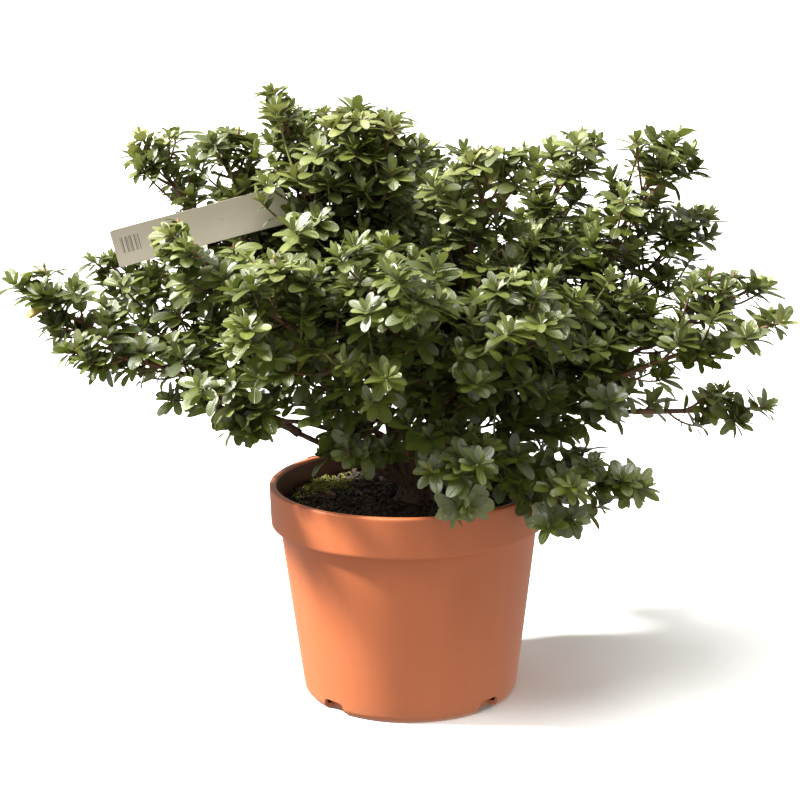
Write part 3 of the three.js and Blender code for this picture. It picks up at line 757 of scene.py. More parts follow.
def dress_shoot(shoot, random):
    """The leaves of one shoot: whorls round its end, then single leaves down its side.

    Each leaf is a row of foot, heading, face, length, width, curl, tone, limb and reach beyond.
    """
    end = shoot.line.at(1.0)
    # Tone by height and reach: partly new growth, partly painted light on the crown's top and
    # outside
    high = share_of(end[2], LIT_NEW_HEIGHTS)
    outer = share_of(math.hypot(end[0], end[1]), LIT_NEW_REACHES)
    newness_and_painted_light = min(1.0, max(0.0, high, outer))
    kind = int(random.choice(len(SHADED_OLD_SHARES), p=lerp(SHADED_OLD_SHARES, LIT_NEW_SHARES, newness_and_painted_light)))
    turn = random.uniform(0, FULL_TURN)
    headings, normals, binormals = shoot.line.frames(LEAF_FRAMES)
    leaves = []
    for behind, tilt, length, width, tone in whorl_rows(shoot, random, kind):
        turn += GOLDEN_ANGLE + random.uniform(-TURN_SWAY, TURN_SWAY)
        share = min(1.0, 1 - behind / shoot.line.length)
        if share < 0:
            continue
        step = round(share * LEAF_FRAMES)
        axis = unit(headings[step] + UP * (WHORL_RISE if behind < WHORL_REACH else SIDE_LEAF_RISE))
        outward = normals[step] * math.cos(turn) + binormals[step] * math.sin(turn)
        outward = unit(outward - axis * outward.dot(axis))
        lean = math.radians(tilt)
        heading = axis * math.cos(lean) + outward * math.sin(lean) + UP * LEAF_LIFT
        face = axis * math.sin(lean) - outward * math.cos(lean) + UP * FACE_LIFT
        sway = [random.uniform(-FACE_SWAY, FACE_SWAY), random.uniform(-FACE_SWAY, FACE_SWAY)]
        face += np.array([*sway, 0])
        heading = unit(heading)
        face = unit(face - heading * face.dot(heading))
        radius = lerp(shoot.root_radius, shoot.tip_radius, share)
        foot = shoot.line.at(share) + outward * radius * FOOT_SHARE
        foot = foot - headings[step] * min(behind, 0.0)
        curl = random.uniform(*(YOUNG_CURLS if tone == YOUNG else CURLS))
        row = (*foot, *heading, *face, length, width, curl, tone, shoot.limb_index, shoot.beyond)
        leaves.append(row)
    return leaves


def fit_leaves(leaves, space):
    """Shortens the leaves that would leave their space, and drops those that still would."""
    foot, heading, face, rest = leaves[:, :3], leaves[:, 3:6], leaves[:, 6:9], leaves[:, 9:]
    length = rest[:, 0].copy()
    keep = np.zeros(len(foot), bool)
    for shortening in LEAF_TRIES:
        size = rest[:, 0] * shortening
        fits = np.zeros(len(foot), bool)
        for index in range(len(space.limbs)):
            mine = np.flatnonzero((rest[:, 4] == index) & ~keep)
            if not len(mine):
                continue
            tips = foot[mine] + heading[mine] * size[mine, None]
            middles = foot[mine] + heading[mine] * size[mine, None] * LEAF_MIDDLE
            beyond = rest[mine, 5] + LEAF_BEYOND
            free = space.clear(tips) & space.clear(middles)
            kept = space.allows(tips, index, LEAF_MARGIN, beyond)
            kept &= space.allows(middles, index, LEAF_MARGIN, beyond)
            fits[mine] = np.where(np.isinf(beyond), free, kept)
        length[fits] = size[fits]
        keep |= fits
    rest = rest.copy()
    rest[:, :2] *= (length / rest[:, 0])[:, None]
    return foot[keep], heading[keep], face[keep], rest[keep]


def leaf_points(shape, foot, heading, face, length, width, curl):
    """The corners of every leaf, bent along its length and folded along its midrib."""
    side, face, heading, foot = (
        rows[:, None, :] for rows in (np.cross(heading, face), face, heading, foot)
    )
    angle = (curl[:, None] * shape.along[None])[..., None]
    safe = np.where(np.abs(curl) < 1e-3, 1e-3, curl)[:, None]
    forward = length[:, None] * np.sin(safe * shape.along) / safe
    drop = length[:, None] * (1 - np.cos(safe * shape.along)) / safe
    half = width[:, None] * shape.half_width[None]
    points = foot + heading * forward[..., None] - face * drop[..., None]
    points += side * (half * shape.across)[..., None]
    points += (face * np.cos(angle) + heading * np.sin(angle)) * (half * 2 * shape.hump)[..., None]
    return points


# Meshes


def quads(*corners):
    """Four-sided faces from four arrays of point numbers."""
    return np.stack(corners, axis=-1).reshape(-1, 4)


def band_faces(rings):
    """Faces between each ring of points and the next."""
    beside = np.roll(rings, -1, axis=1)
    return quads(rings[:-1], beside[:-1], beside[1:], rings[1:])


def fan_faces(centre, ring):
    """Faces from a centre to every two edges of the ring round it."""
    half = slice(None, None, 2)
    corners = [ring[half], np.roll(ring, -1)[half], np.roll(ring, -2)[half]]
    return quads(np.full(len(ring) // 2, centre), *corners)


def link(name, data):
    """A new object in the scene."""
    made = bpy.data.objects.new(name, data)
    bpy.context.scene.collection.objects.link(made)
    return made


def mesh_object(name, points, faces, uv=None, smooth=True):
    """One object from arrays: points in millimetres, faces as equal rows, UV by corner point."""
    mesh = bpy.data.meshes.new(name)
    faces = np.asarray(faces)
    points = np.asarray(points, float).reshape(-1, 3) * MM
    starts = np.arange(len(faces)) * faces.shape[1]
    mesh.vertices.add(len(points))
    mesh.vertices.foreach_set("co", points.astype(np.float32).ravel())
    mesh.loops.add(faces.size)
    mesh.loops.foreach_set("vertex_index", faces.astype(np.int32).ravel())
    mesh.polygons.add(len(faces))
    mesh.polygons.foreach_set("loop_start", starts.astype(np.int32))
    mesh.update(calc_edges=True)
    mesh.polygons.foreach_set("use_smooth", np.full(len(faces), smooth))
    if uv is not None:
        layer = mesh.uv_layers.new(name="leaf")
        layer.data.foreach_set("uv", np.asarray(uv, np.float32)[faces.ravel()].ravel())
    mesh.validate()
    return link(name, mesh)


class Pile:
    """Points and four-sided faces of many small things, joined into one mesh."""

    def __init__(self):
        self.points = []
        self.faces = []
        self.uv = []
        self.count = 0

    def add(self, points, faces, uv=None):
        self.points.append(points)
        self.faces.append(faces + self.count)
        self.uv.append(np.zeros((len(points), 2)) if uv is None else uv)
        self.count += len(points)

    def piece(self, name, smooth=True):
        points, faces, uv = (np.concatenate(rows) for rows in (self.points, self.faces, self.uv))
        return mesh_object(name, points, faces, uv, smooth)


def add_tube(pile, line, radii, sides, steps, relief=None):
    """A closed tube along a line. `radii` gives its radius by share, `relief` swells it."""
    shares = np.linspace(0, 1, steps + 1)
    headings, normals, binormals = line.frames(steps)
    centres = line.at(shares)[:, None]
    radius = np.interp(shares, np.linspace(0, 1, len(radii)), radii)
    turns = even_turns(sides)
    ring = np.cos(turns)[None, :, None] * normals[:, None]
    ring = ring + np.sin(turns)[None, :, None] * binormals[:, None]
    swell = np.repeat(radius[:, None], sides, axis=1)
    if relief is not None:
        swell = swell * relief(centres + ring * swell[..., None], turns, shares * line.length)
    points = (centres + ring * swell[..., None]).reshape(-1, 3)
    foot = centres[0, 0] - headings[0] * radius[0] * TUBE_FOOT
    cap = centres[-1, 0] + headings[-1] * radius[-1] * TUBE_TIP
    index = np.arange(len(points)).reshape(steps + 1, sides)
    foot_faces = fan_faces(len(points), index[0])[:, FLIPPED]
    cap_faces = fan_faces(len(points) + 1, index[-1])
    uv = np.stack([np.tile(turns / FULL_TURN, steps + 1), np.repeat(shares, sides)], axis=-1)
    faces = np.concatenate([band_faces(index), foot_faces, cap_faces])
    pile.add(np.concatenate([points, [foot, cap]]), faces, np.concatenate([uv, [[0, 0], [0, 1]]]))


# Materials


def arithmetic(operation, reflected=False):
    """A method that joins a value and another operand by one operation."""

    def join(value, other):
        return value.combine(operation, *((other, value) if reflected else (value, other)))

    return join


class Value:
    """One socket of a material. Arithmetic on it adds Math nodes, or Vector Math for a vector."""

    __add__, __radd__ = arithmetic("ADD"), arithmetic("ADD", reflected=True)
    __sub__, __rsub__ = arithmetic("SUBTRACT"), arithmetic("SUBTRACT", reflected=True)
    __mul__, __rmul__ = arithmetic("MULTIPLY"), arithmetic("MULTIPLY", reflected=True)
    __truediv__, __rtruediv__ = arithmetic("DIVIDE"), arithmetic("DIVIDE", reflected=True)
    __pow__ = arithmetic("POWER")
    above = arithmetic("GREATER_THAN")

    def __init__(self, finish, socket, vector=False):
        self.finish = finish
        self.socket = socket
        self.vector = vector

    def __abs__(self):
        return self.combine("ABSOLUTE", self)

    def sine(self):
        return self.combine("SINE", self)

    def combine(self, operation, *operands):
        vector = any(isinstance(operand, Value) and operand.vector for operand in operands)
        if vector:
            operands = [
                (part,) * 3 if isinstance(part, (int, float)) else part for part in operands
            ]
        kind = "ShaderNodeVectorMath" if vector else "ShaderNodeMath"
        sockets = dict(enumerate(operands))
        return self.finish.node(kind, {"operation": operation}, sockets, vector=vector)


class Finish:
    """One material, built up node by node."""

    def __init__(self, name):
        self.material = bpy.data.materials.new(name)
        self.material.use_nodes = True
        self.tree = self.material.node_tree
        self.tree.nodes.clear()

    def node(self, kind, settings=None, sockets=None, output=0, vector=False):
        """Any node: its settings first, then the values or links of its sockets."""
        made = self.tree.nodes.new(kind)
        for name, value in (settings or {}).items():
            if name == "stops":
                self.set_stops(made.color_ramp.elements, value)
            else:
                setattr(made, name, value)
        for name, value in (sockets or {}).items():
            if isinstance(value, Value):
                self.tree.links.new(value.socket, made.inputs[name])
            else:
                made.inputs[name].default_value = value
        return Value(self, made.outputs[output], vector) if made.outputs else None

    def set_stops(self, elements, stops):
        while len(elements) < len(stops):
            elements.new(1.0)
        for element, (place, shade) in zip(elements, stops):
            element.position = place
            element.color = (shade, shade, shade, 1)

    def place(self):
        """Where a point of the surface lies, in metres."""
        return self.node("ShaderNodeNewGeometry", output="Position", vector=True)

    def island(self):
        """A number of its own for each loose part of the mesh."""
        return self.node("ShaderNodeNewGeometry", output="Random Per Island")

    def axes(self, vector):
        """The three parts of a vector."""
        parts = self.node("ShaderNodeSeparateXYZ", sockets={0: vector}).socket.node.outputs
        return [Value(self, part) for part in parts]

    def clouds(self, scale, detail=3.0, place=None, roughness=0.55):
        sockets = {"Scale": scale, "Detail": detail, "Roughness": roughness}
        sockets["Vector"] = place or self.place()
        return self.node("ShaderNodeTexNoise", sockets=sockets)

    def ramp(self, value, *stops):
        return self.node("ShaderNodeValToRGB", {"stops": stops}, {"Fac": value})

    def mix(self, share, first, second):
        """Between two colours by a share."""
        first, second = (
            colour if isinstance(colour, Value) else (*colour, 1) for colour in (first, second)
        )
        sockets = {0: share, 6: first, 7: second}
        return self.node("ShaderNodeMix", {"data_type": "RGBA"}, sockets, output=2)

    def surface(self, colour, roughness, relief=None, depth=0.0, **constants):
        """The shader of the surface; `relief` is raised by up to `depth` metres."""
        sockets = {"Base Color": colour, "Roughness": roughness, **constants}
        if relief is not None:
            heights = {"Height": relief, "Distance": depth}
            sockets["Normal"] = self.node("ShaderNodeBump", sockets=heights)
        return self.node("ShaderNodeBsdfPrincipled", sockets=sockets)

    def done(self, shader):
        self.node("ShaderNodeOutputMaterial", sockets={"Surface": shader})
        return self.material


def scaled(colour, factor):
    return tuple(min(1.0, channel * factor) for channel in colour)


def pot_material(pot):
    """Plastic with faint clouds and streaks, dust at its foot, and painted shade on the inner wall
    of the rim.
    """
    finish = Finish("terracotta plastic")
    place = finish.place()
    axis_x, axis_y, height = finish.axes(place)
    cloud = finish.clouds(9.0, 4.0, place)
    speck = finish.clouds(420.0, 2.0, place)
    streak = finish.clouds(1.0, 2.0, place * (60.0, 60.0, 3.0))
    colour = finish.mix(finish.ramp(cloud, (0.35, 0), (0.7, 1)), pot.colour, pot.faded)
    streaks = finish.ramp(streak, (0.45, 0), (0.8, 0.3))
    colour = finish.mix(streaks, colour, scaled(pot.faded, 1.15))
    dust = finish.ramp(height / DUST_HEIGHT + speck * 0.6, (0.3, 0.28), (0.75, 0))
    colour = finish.mix(dust, colour, DUST)
    from_axis = (axis_x * axis_x + axis_y * axis_y) ** 0.5
    inside = height.above(pot.height - pot.band_height + MM)
    inside = inside * (1 - from_axis.above(pot.rim_radius - pot.lip_width - 0.1 * MM))
    # Painted shade: the inner wall above the band's foot is darkened where shade falls into the pot
    colour = finish.mix(inside * (0.7 + 0.25 * cloud), colour, PAINTED_INNER_SHADE)
    rings = finish.node(
        "ShaderNodeTexWave",
        {"wave_type": "BANDS", "bands_direction": "Z"},
        {"Vector": place, "Scale": 210.0, "Distortion": 0.4, "Detail": 1.0},
        output=1,
    )
    relief = speck * 0.5 + rings * 0.25 + streak * 0.5
    roughness = 0.38 + 0.12 * cloud + 0.06 * speck
    return finish.done(finish.surface(colour, roughness, relief, 0.00012, IOR=PLASTIC_IOR))


def soil_material(soil):
    finish = Finish("potting mix")
    place = finish.place()
    crumbs = finish.clouds(260.0, 6.0, place, 0.7)
    patches = finish.clouds(28.0, 3.0, place)
    share = finish.ramp(crumbs * 0.7 + patches * 0.3, (0.42, 0), (0.68, 1))
    colour = finish.mix(share, soil.dark, soil.light)
    return finish.done(finish.surface(colour, 0.75 + 0.2 * crumbs, crumbs, 0.0012))


def chip_material(name, dark, light):
    finish = Finish(name)
    grain = finish.clouds(700.0, 3.0)
    share = finish.ramp(finish.island() * 0.75 + grain * 0.25, (0.1, 0), (0.95, 1))
    colour = finish.mix(share, dark, light)
    return finish.done(finish.surface(colour, 0.7 + 0.2 * grain, grain, 0.0004))


def bark_material(stems):
    finish = Finish("old azalea bark")
    place = finish.place()
    furrows = finish.clouds(520.0, 5.0, place * (1.0, 1.0, 0.28), 0.65)
    patches = finish.clouds(45.0, 2.0, place)
    colour = finish.mix(finish.ramp(furrows, (0.36, 0), (0.62, 1)), stems.furrow, stems.bark)
    pale = finish.ramp(patches, (0.5, 0), (0.75, 0.5))
    colour = finish.mix(pale, colour, PALE_BARK)
    return finish.done(finish.surface(colour, 0.72 + 0.2 * furrows, furrows, 0.0009))


def twig_material(name, colour):
    finish = Finish(name)
    place = finish.place()
    cloud = finish.clouds(60.0, 2.0, place)
    fine = finish.clouds(900.0, 3.0, place)
    share = finish.ramp(cloud * 0.7 + fine * 0.3, (0.35, 0), (0.65, 1))
    blended = finish.mix(share, scaled(colour, 0.65), scaled(colour, 1.35))
    return finish.done(finish.surface(blended, 0.5 + 0.25 * fine, fine, 0.0003))


def leaf_material(name, colour, glow, gloss):
    """A glossy leaf: a paler midrib, faint side veins, and light that comes through it."""
    finish = Finish(name)
    uv = finish.node("ShaderNodeUVMap", {"uv_map": "leaf"}, vector=True)
    across, along, _ = finish.axes(uv)
    from_midrib = abs(across - 0.5)
    midrib = finish.ramp(from_midrib, (0.0, 1), (0.07, 0))
    veins = ((along - from_midrib * VEIN_SLOPE) * VEINS).sine()
    cloud = finish.clouds(55.0, 2.0)
    share = finish.ramp(finish.island() * 0.62 + cloud * 0.38, (0.15, 0), (0.9, 1))
    toned = finish.mix(share, scaled(colour, 0.66), scaled(colour, 1.42))
    toned = finish.mix(midrib * 0.38, toned, scaled(colour, 2.6))
    relief = veins * 0.12 - midrib * 0.8
    top = finish.surface(toned, gloss + 0.04 + 0.14 * cloud, relief, 0.00025, IOR=LEAF_IOR)
    lit = {"Color": (*scaled(colour, glow), 1)}
    through = finish.node("ShaderNodeBsdfTranslucent", sockets=lit)
    layers = {0: LIGHT_THROUGH, 1: top, 2: through}
    return finish.done(finish.node("ShaderNodeMixShader", sockets=layers))


def label_material(settings, label):
    """Pale plastic with a few plain bars at its far end."""
    finish = Finish("label plastic")
    place = finish.place()
    inverse = label.pose.inverted()

    def measured(axis):
        """Place along one axis of the label's own frame, in millimetres."""
        sockets = {0: place, 1: tuple(axis[:3])}
        dot = finish.node("ShaderNodeVectorMath", {"operation": "DOT_PRODUCT"}, sockets, "Value")
        return dot / MM + axis[3]

    from_end = measured(inverse[0]) - (-label.strip_start - label.length)
    height = measured(inverse[2]) - label.lift
    inside = from_end.above(BAR_ENDS[0]) * (1 - from_end.above(BAR_ENDS[1]))
    inside = inside * (1 - abs(height - BAR_MIDDLE).above(BAR_HALF_HEIGHT))
    waves = (from_end * 5.3).sine() + (from_end * 2.17 + 1.1).sine()
    bars = waves.above(0.25) * inside
    cloud = finish.clouds(40.0, 3.0, place)
    fine = finish.clouds(1500.0, 2.0, place)
    colour = finish.mix(cloud, scaled(settings.colour, 0.86), scaled(settings.colour, 1.08))
    colour = finish.mix(bars * 0.85, colour, settings.bars)
    return finish.done(finish.surface(colour, 0.42 + 0.15 * cloud, fine, 0.00004))


def floor_material(stage):
    finish = Finish("studio floor")
    cloud = finish.clouds(3.0, 2.0)
    colour = finish.mix(cloud, scaled(stage.floor, 0.99), scaled(stage.floor, 1.01))
    return finish.done(finish.surface(colour, 0.9))


def dress(piece, material, slot, *nodes):
    """Gives a finished piece its material and its body, and hides the solids it stands for. The
    slot is not used.
    """
    piece.data.materials.clear()
    piece.data.materials.append(material)
    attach(piece, "root")
    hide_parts(*nodes)


# Operators


class AZALEA_OT_pot(bpy.types.Operator):
    """Make the round nursery pot with its rim band and drain notches"""

    bl_idname = "azalea.make_pot"
    bl_label = "Pot"

    facets = 192
    sharp_angle = math.radians(40)
    foot_round = 5
    lip_round = 1.6
    notches = 4
    notch_arch = [(-9, -5), (9, -5), (9, 5.2), (8.2, 7.0), (6.5, 8.1), (4, 8.4)]
    notch_depths = (-8, 12)

    def outline(self, pot):
        """Radius and height from the middle of the underside, out, up and back down inside."""
        rim, base, top = pot.rim_radius / MM, pot.base_radius / MM, pot.height / MM
        wall, lip, step = pot.wall / MM, pot.lip_width / MM, pot.band_step / MM
        band = top - pot.band_height / MM
        body = rim - step
        low, bow = self.foot_round, self.lip_round
        quarter = math.pi / 2
        return [
            (0, 1.4),
            (base - 15, 1.4),
            (base - 12.5, 0.9),
            (base - 11.5, 0.2),
            (base - 10.5, 0),
            *[
                (base - low + 5.4 * math.sin(a), low - low * math.cos(a))
                for a in np.linspace(0, quarter, 7)
            ],
            (lerp(base, body, 0.05) + 0.4, lerp(low, band, 0.05)),
            *[
                (lerp(base, body, s) + 0.4 * (1 - s), lerp(low, band, s))
                for s in (0.25, 0.5, 0.75, 0.97)
            ],
            (body - 0.05, band - 1.6),
            (body, band - 0.5),
            (body + 0.5, band + 0.15),
            (rim - 1.7, band + 0.4),
            (rim - 1.0, band + 0.65),
            (rim - 0.68, band + 1.3),
            (rim - 0.6, band + 2.8),
            (rim - 0.25, top - 9),
            (rim - 0.05, top - 3.2),
            *[
                (rim - bow + bow * math.cos(a), top - bow + bow * math.sin(a))
                for a in np.linspace(0, quarter, 6)
            ],
            (rim - lip + 1.6, top),
            (rim - lip + 0.7, top - 0.25),
            (rim - lip + 0.1, top - 0.9),
            (rim - lip - 0.2, top - 3),
            (body - wall + 0.4, band + 1.5),
            (body - wall, band),
            (lerp(base, body, 0.3) - wall, lerp(low, band, 0.3)),
            (base - wall, 4.4),
            (base - wall - 1.6, 3),
            (0, 3),
        ]

    def execute(self, context):
        pot = context.scene.azalea_pot
        outline = np.array(self.outline(pot))
        turns = even_turns(self.facets)
        radii, heights = outline[1:-1, 0, None], outline[1:-1, 1, None]
        places = [radii * np.cos(turns), radii * np.sin(turns), heights + 0 * turns]
        points = np.stack(places, axis=-1).reshape(-1, 3)
        index = np.arange(len(points)).reshape(-1, self.facets)
        beside = np.roll(index, -1, axis=1)
        corners = [tuple(point) for point in points * MM]
        corners += [(0, 0, outline[0][1] * MM), (0, 0, outline[-1][1] * MM)]
        foot, floor = len(points), len(points) + 1
        faces = [tuple(face) for face in band_faces(index)]
        faces += [(foot, beside[0][k], index[0][k]) for k in range(self.facets)]
        faces += [(floor, index[-1][k], beside[-1][k]) for k in range(self.facets)]
        mesh = bpy.data.meshes.new("nursery_pot")
        mesh.from_pydata(corners, [], faces)
        piece = link("nursery_pot", mesh)
        self.cut_notches(piece, pot)
        piece.data.shade_smooth()
        piece.data.set_sharp_from_angle(angle=self.sharp_angle)
        dress(piece, pot_material(pot), "pot_plastic", "pot")
        return {"FINISHED"}

    def cut_notches(self, piece, pot):
        """Round-topped notches through the foot of the wall."""
        arch = self.notch_arch + [(-y, z) for y, z in reversed(self.notch_arch[2:])]
        count = len(arch)
        depths = [pot.base_radius / MM + depth for depth in self.notch_depths]
        corners = [Vector((x, y, z)) * MM for x in depths for y, z in arch]
        faces = [tuple(range(count))[::-1], tuple(range(count, 2 * count))]
        for k in range(count):
            ahead = (k + 1) % count
            faces.append((k, ahead, count + ahead, count + k))
        cutters = []
        for i in range(self.notches):
            mesh = bpy.data.meshes.new("notch")
            mesh.from_pydata(corners, [], faces)
            mesh.transform(Matrix.Rotation(FULL_TURN * (i + 0.5) / self.notches, 4, "Z"))
            cutter = link("notch", mesh)
            modifier = piece.modifiers.new("notch", "BOOLEAN")
            modifier.operation = "DIFFERENCE"
            modifier.solver = "EXACT"
            modifier.object = cutter
            cutters.append(cutter)
        bpy.context.view_layer.update()
        depsgraph = bpy.context.evaluated_depsgraph_get()
        cut = bpy.data.meshes.new_from_object(piece.evaluated_get(depsgraph))
        piece.modifiers.clear()
        piece.data = cut
        for cutter in cutters:
            bpy.data.objects.remove(cutter)


def from_collar(x, y):
    return math.hypot(x - COLLAR_CENTRE[0], y)


def soil_height(x, y, top):
    """The uneven surface of the soil: flat round the foot of the shrub, crumbled further out."""
    level = np.interp(math.hypot(x, y), [0, 30, 52, 87], [top, top, top + 1, top - 3])
    rough = np.interp(from_collar(x, y), [12, 26], [0.25, 1])
    place = Vector((x, y, 3.7))
    lumps = 1.9 * noise.noise(place * 0.055) + 1.5 * noise.noise(place * 0.16)
    return level + rough * (lumps + 0.8 * noise.noise(place * 0.45))


class AZALEA_OT_soil(bpy.types.Operator):
    """Make the potting mix with its bark chips, moss and fibres"""

    bl_idname = "azalea.make_soil"
    bl_label = "Soil"

    seed = 41
    facets = 160
    rings = 44
    reach = 87.2
    bottom = 3.4
    hidden_rings = ((86.0, 128.0), (85.5, 120.0), (71.4, 9.0), (63.0, bottom))
    chip_reach = 84.5
    chip_collar = 17
    chip_slope = 0.5
    chip_turn = 6.28
    chip_widths = (0.4, 0.8)
    chip_unevenness = (0.6, 1.15)
    # Range of length, and range of thickness as a share of it
    dark_sizes = ((1.4, 5.5), (0.3, 0.7))
    pale_sizes = ((1.0, 4.6), (0.2, 0.5))
    dark_share = 0.86
    moss_x = (-60, 10)
    moss_y = (33, 14)
    moss_reach = 83
    moss_collar = 18
    strand_radii = (0.35, 0.28, 0.12)

    def ground(self, top):
        """The whole root ball: crumbly on top, plain where the pot hides it."""
        level = [around(turn) for turn in even_turns(self.facets)]
        rows = []
        for radius in np.linspace(0, self.reach, self.rings)[1:]:
            ring = [radius * direction for direction in level]
            rows.append([(x, y, soil_height(x, y, top)) for x, y in ring])
        for radius, height in self.hidden_rings:
            rows.append([(*(radius * direction), height) for direction in level])
        points = np.array(rows).reshape(-1, 3)
        index = np.arange(len(points)).reshape(len(rows), self.facets)
        crown = fan_faces(len(points), index[0])
        foot = fan_faces(len(points) + 1, index[-1])[:, FLIPPED]
        points = np.concatenate([points, [(0, 0, soil_height(0, 0, top)), (0, 0, self.bottom)]])
        faces = np.concatenate([band_faces(index)[:, FLIPPED], crown, foot])
        return mesh_object("soil_surface", points, faces)

    def chips(self, name, count, top, sizes, flatness, random):
        """Small uneven blocks lying on the soil."""
        pile = Pile()
        box = np.array([(x, y, z) for z in (-1, 1) for y in (-1, 1) for x in (-1, 1)], float)
        faces = [(0, 2, 3, 1), (4, 5, 7, 6), (0, 1, 5, 4), (2, 6, 7, 3), (0, 4, 6, 2), (1, 3, 7, 5)]
        faces = np.array(faces)
        for _ in range(count):
            radius = self.chip_reach * math.sqrt(random.random())
            x, y = radius * around(random.uniform(0, FULL_TURN))
            if from_collar(x, y) < self.chip_collar:
                continue
            long = random.uniform(*sizes)
            wide = long * random.uniform(*self.chip_widths)
            thick = long * random.uniform(*flatness)
            shape = np.array([long, wide, thick]) / 2
            corners = box * shape * random.uniform(*self.chip_unevenness, box.shape)
            slopes = [random.uniform(-self.chip_slope, self.chip_slope) for _ in range(2)]
            turn = Euler((*slopes, random.uniform(0, self.chip_turn)))
            corners = corners @ np.array(turn.to_matrix()).T
            corners += (x, y, soil_height(x, y, top) + shape[2] * 0.5)
            pile.add(corners, faces)
        return pile.piece(name, smooth=False)

    def strands(self, count, top, random):
        """Moss and fibre: thin curved blades, thickest at the back left."""
        pile = Pile()
        for _ in range(count):
            x, y = random.normal(*self.moss_x), random.normal(*self.moss_y)
            if math.hypot(x, y) > self.moss_reach or from_collar(x, y) < self.moss_collar:
                continue
            base = np.array([x, y, soil_height(x, y, top)])
            outward = np.array([*around(random.uniform(0, FULL_TURN)), 0])
            reach = random.uniform(3, 10)
            height = random.uniform(0.8, 4.5)
            middle = base + outward * reach * 0.4 + UP * height * 1.6
            line = bent(base, middle, base + outward * reach + UP * 0.6, 7)
            add_tube(pile, line, self.strand_radii, 4, 4)
        return pile.piece("moss_strands")

    def execute(self, context):
        soil = context.scene.azalea_soil
        top = soil.top / MM
        random = np.random.default_rng(self.seed)
        many = int(soil.chips * self.dark_share)
        few = soil.chips - many
        dress(self.ground(top), soil_material(soil), "soil", "potting_soil")
        dark = chip_material("dark chips", soil.dark, scaled(soil.light, 1.3))
        pale = chip_material("pale chips", scaled(soil.chip, 0.35), scaled(soil.chip, 1.2))
        moss = chip_material("moss", scaled(soil.moss, 0.3), scaled(soil.moss, 1.4))
        dark_chips = self.chips("chips_dark", many, top, *self.dark_sizes, random)
        dress(dark_chips, dark, "soil", "potting_soil")
        pale_chips = self.chips("chips_pale", few, top, *self.pale_sizes, random)
        dress(pale_chips, pale, "soil", "potting_soil")
        dress(self.strands(soil.strands, top, random), moss, "soil", "potting_soil")
        return {"FINISHED"}


def noise_on(points, scale):
    return np.array([[noise.noise(Vector(point) * scale) for point in ring] for ring in points])


def bark_relief(points, turns, along):
    """Long ridges and small knots of old wood, as a swelling round each ring."""
    ridges = 0.035 * np.sin(3 * turns)[None] + 0.03 * np.sin(5 * turns + 1.3)[None]
    wander = 0.05 * np.sin(along * 0.21 + 0.7)[:, None]
    return 1 + ridges + wander + 0.16 * noise_on(points, 0.42)


def stump_relief(points, turns, along):
    """Broad lobes where the roots of the stems run into the foot."""
    lobes = 0.09 * np.sin(5 * turns + 0.4)[None] + 0.06 * np.sin(8 * turns)[None]
    return 1 + lobes + 0.18 * noise_on(points, 0.22)


class AZALEA_OT_limbs(bpy.types.Operator):
    """Make the root collar and the boughs with the relief of their bark"""

    bl_idname = "azalea.make_limbs"
    bl_label = "Root Collar and Boughs"

    def execute(self, context):
        limbs = lay_limbs()
        pile = Pile()
        low, high = STUMP_HEIGHTS[[0, -1]]
        centre = np.array([*COLLAR_CENTRE, 0])
        stump = Line(centre + UP * (COLLAR_FOOT + np.linspace(low, high, 30))[:, None])
        shares = (STUMP_HEIGHTS - low) / (high - low)
        profile = np.interp(np.linspace(0, 1, 25), shares, STUMP_RADII)
        add_tube(pile, stump, profile, 40, 24, stump_relief)
        for limb in limbs:
            flare = COLLAR_FLARE if limb.source == "collar" else FORK_FLARE
            radii = [limb.root_radius * swell for swell in (flare, 1.08, 0.97)]
            tapers = (0.3, 0.6, 1.0)
            radii += [lerp(limb.root_radius, TIP_RADIUS, s) * BOUGH_TAPER for s in tapers]
            places = [0, *(length / limb.bough_end for length in FLARE_LENGTHS), *tapers]
            even = np.interp(np.linspace(0, 1, 41), np.clip(places, 0, 1), radii)
            steps = max(8, round(limb.bough_end / BARK_STEP))
            line = limb.line.stretch(0, limb.bough_end + BOUGH_OVERLAP, 81)
            add_tube(pile, line, even, 12, steps, bark_relief)
        nodes = ["root_collar", *[f"bough_{limb.name}" for limb in limbs]]
        bark = bark_material(context.scene.azalea_stems)
        dress(pile.piece("bark_limbs"), bark, "bark", *nodes)
        return {"FINISHED"}


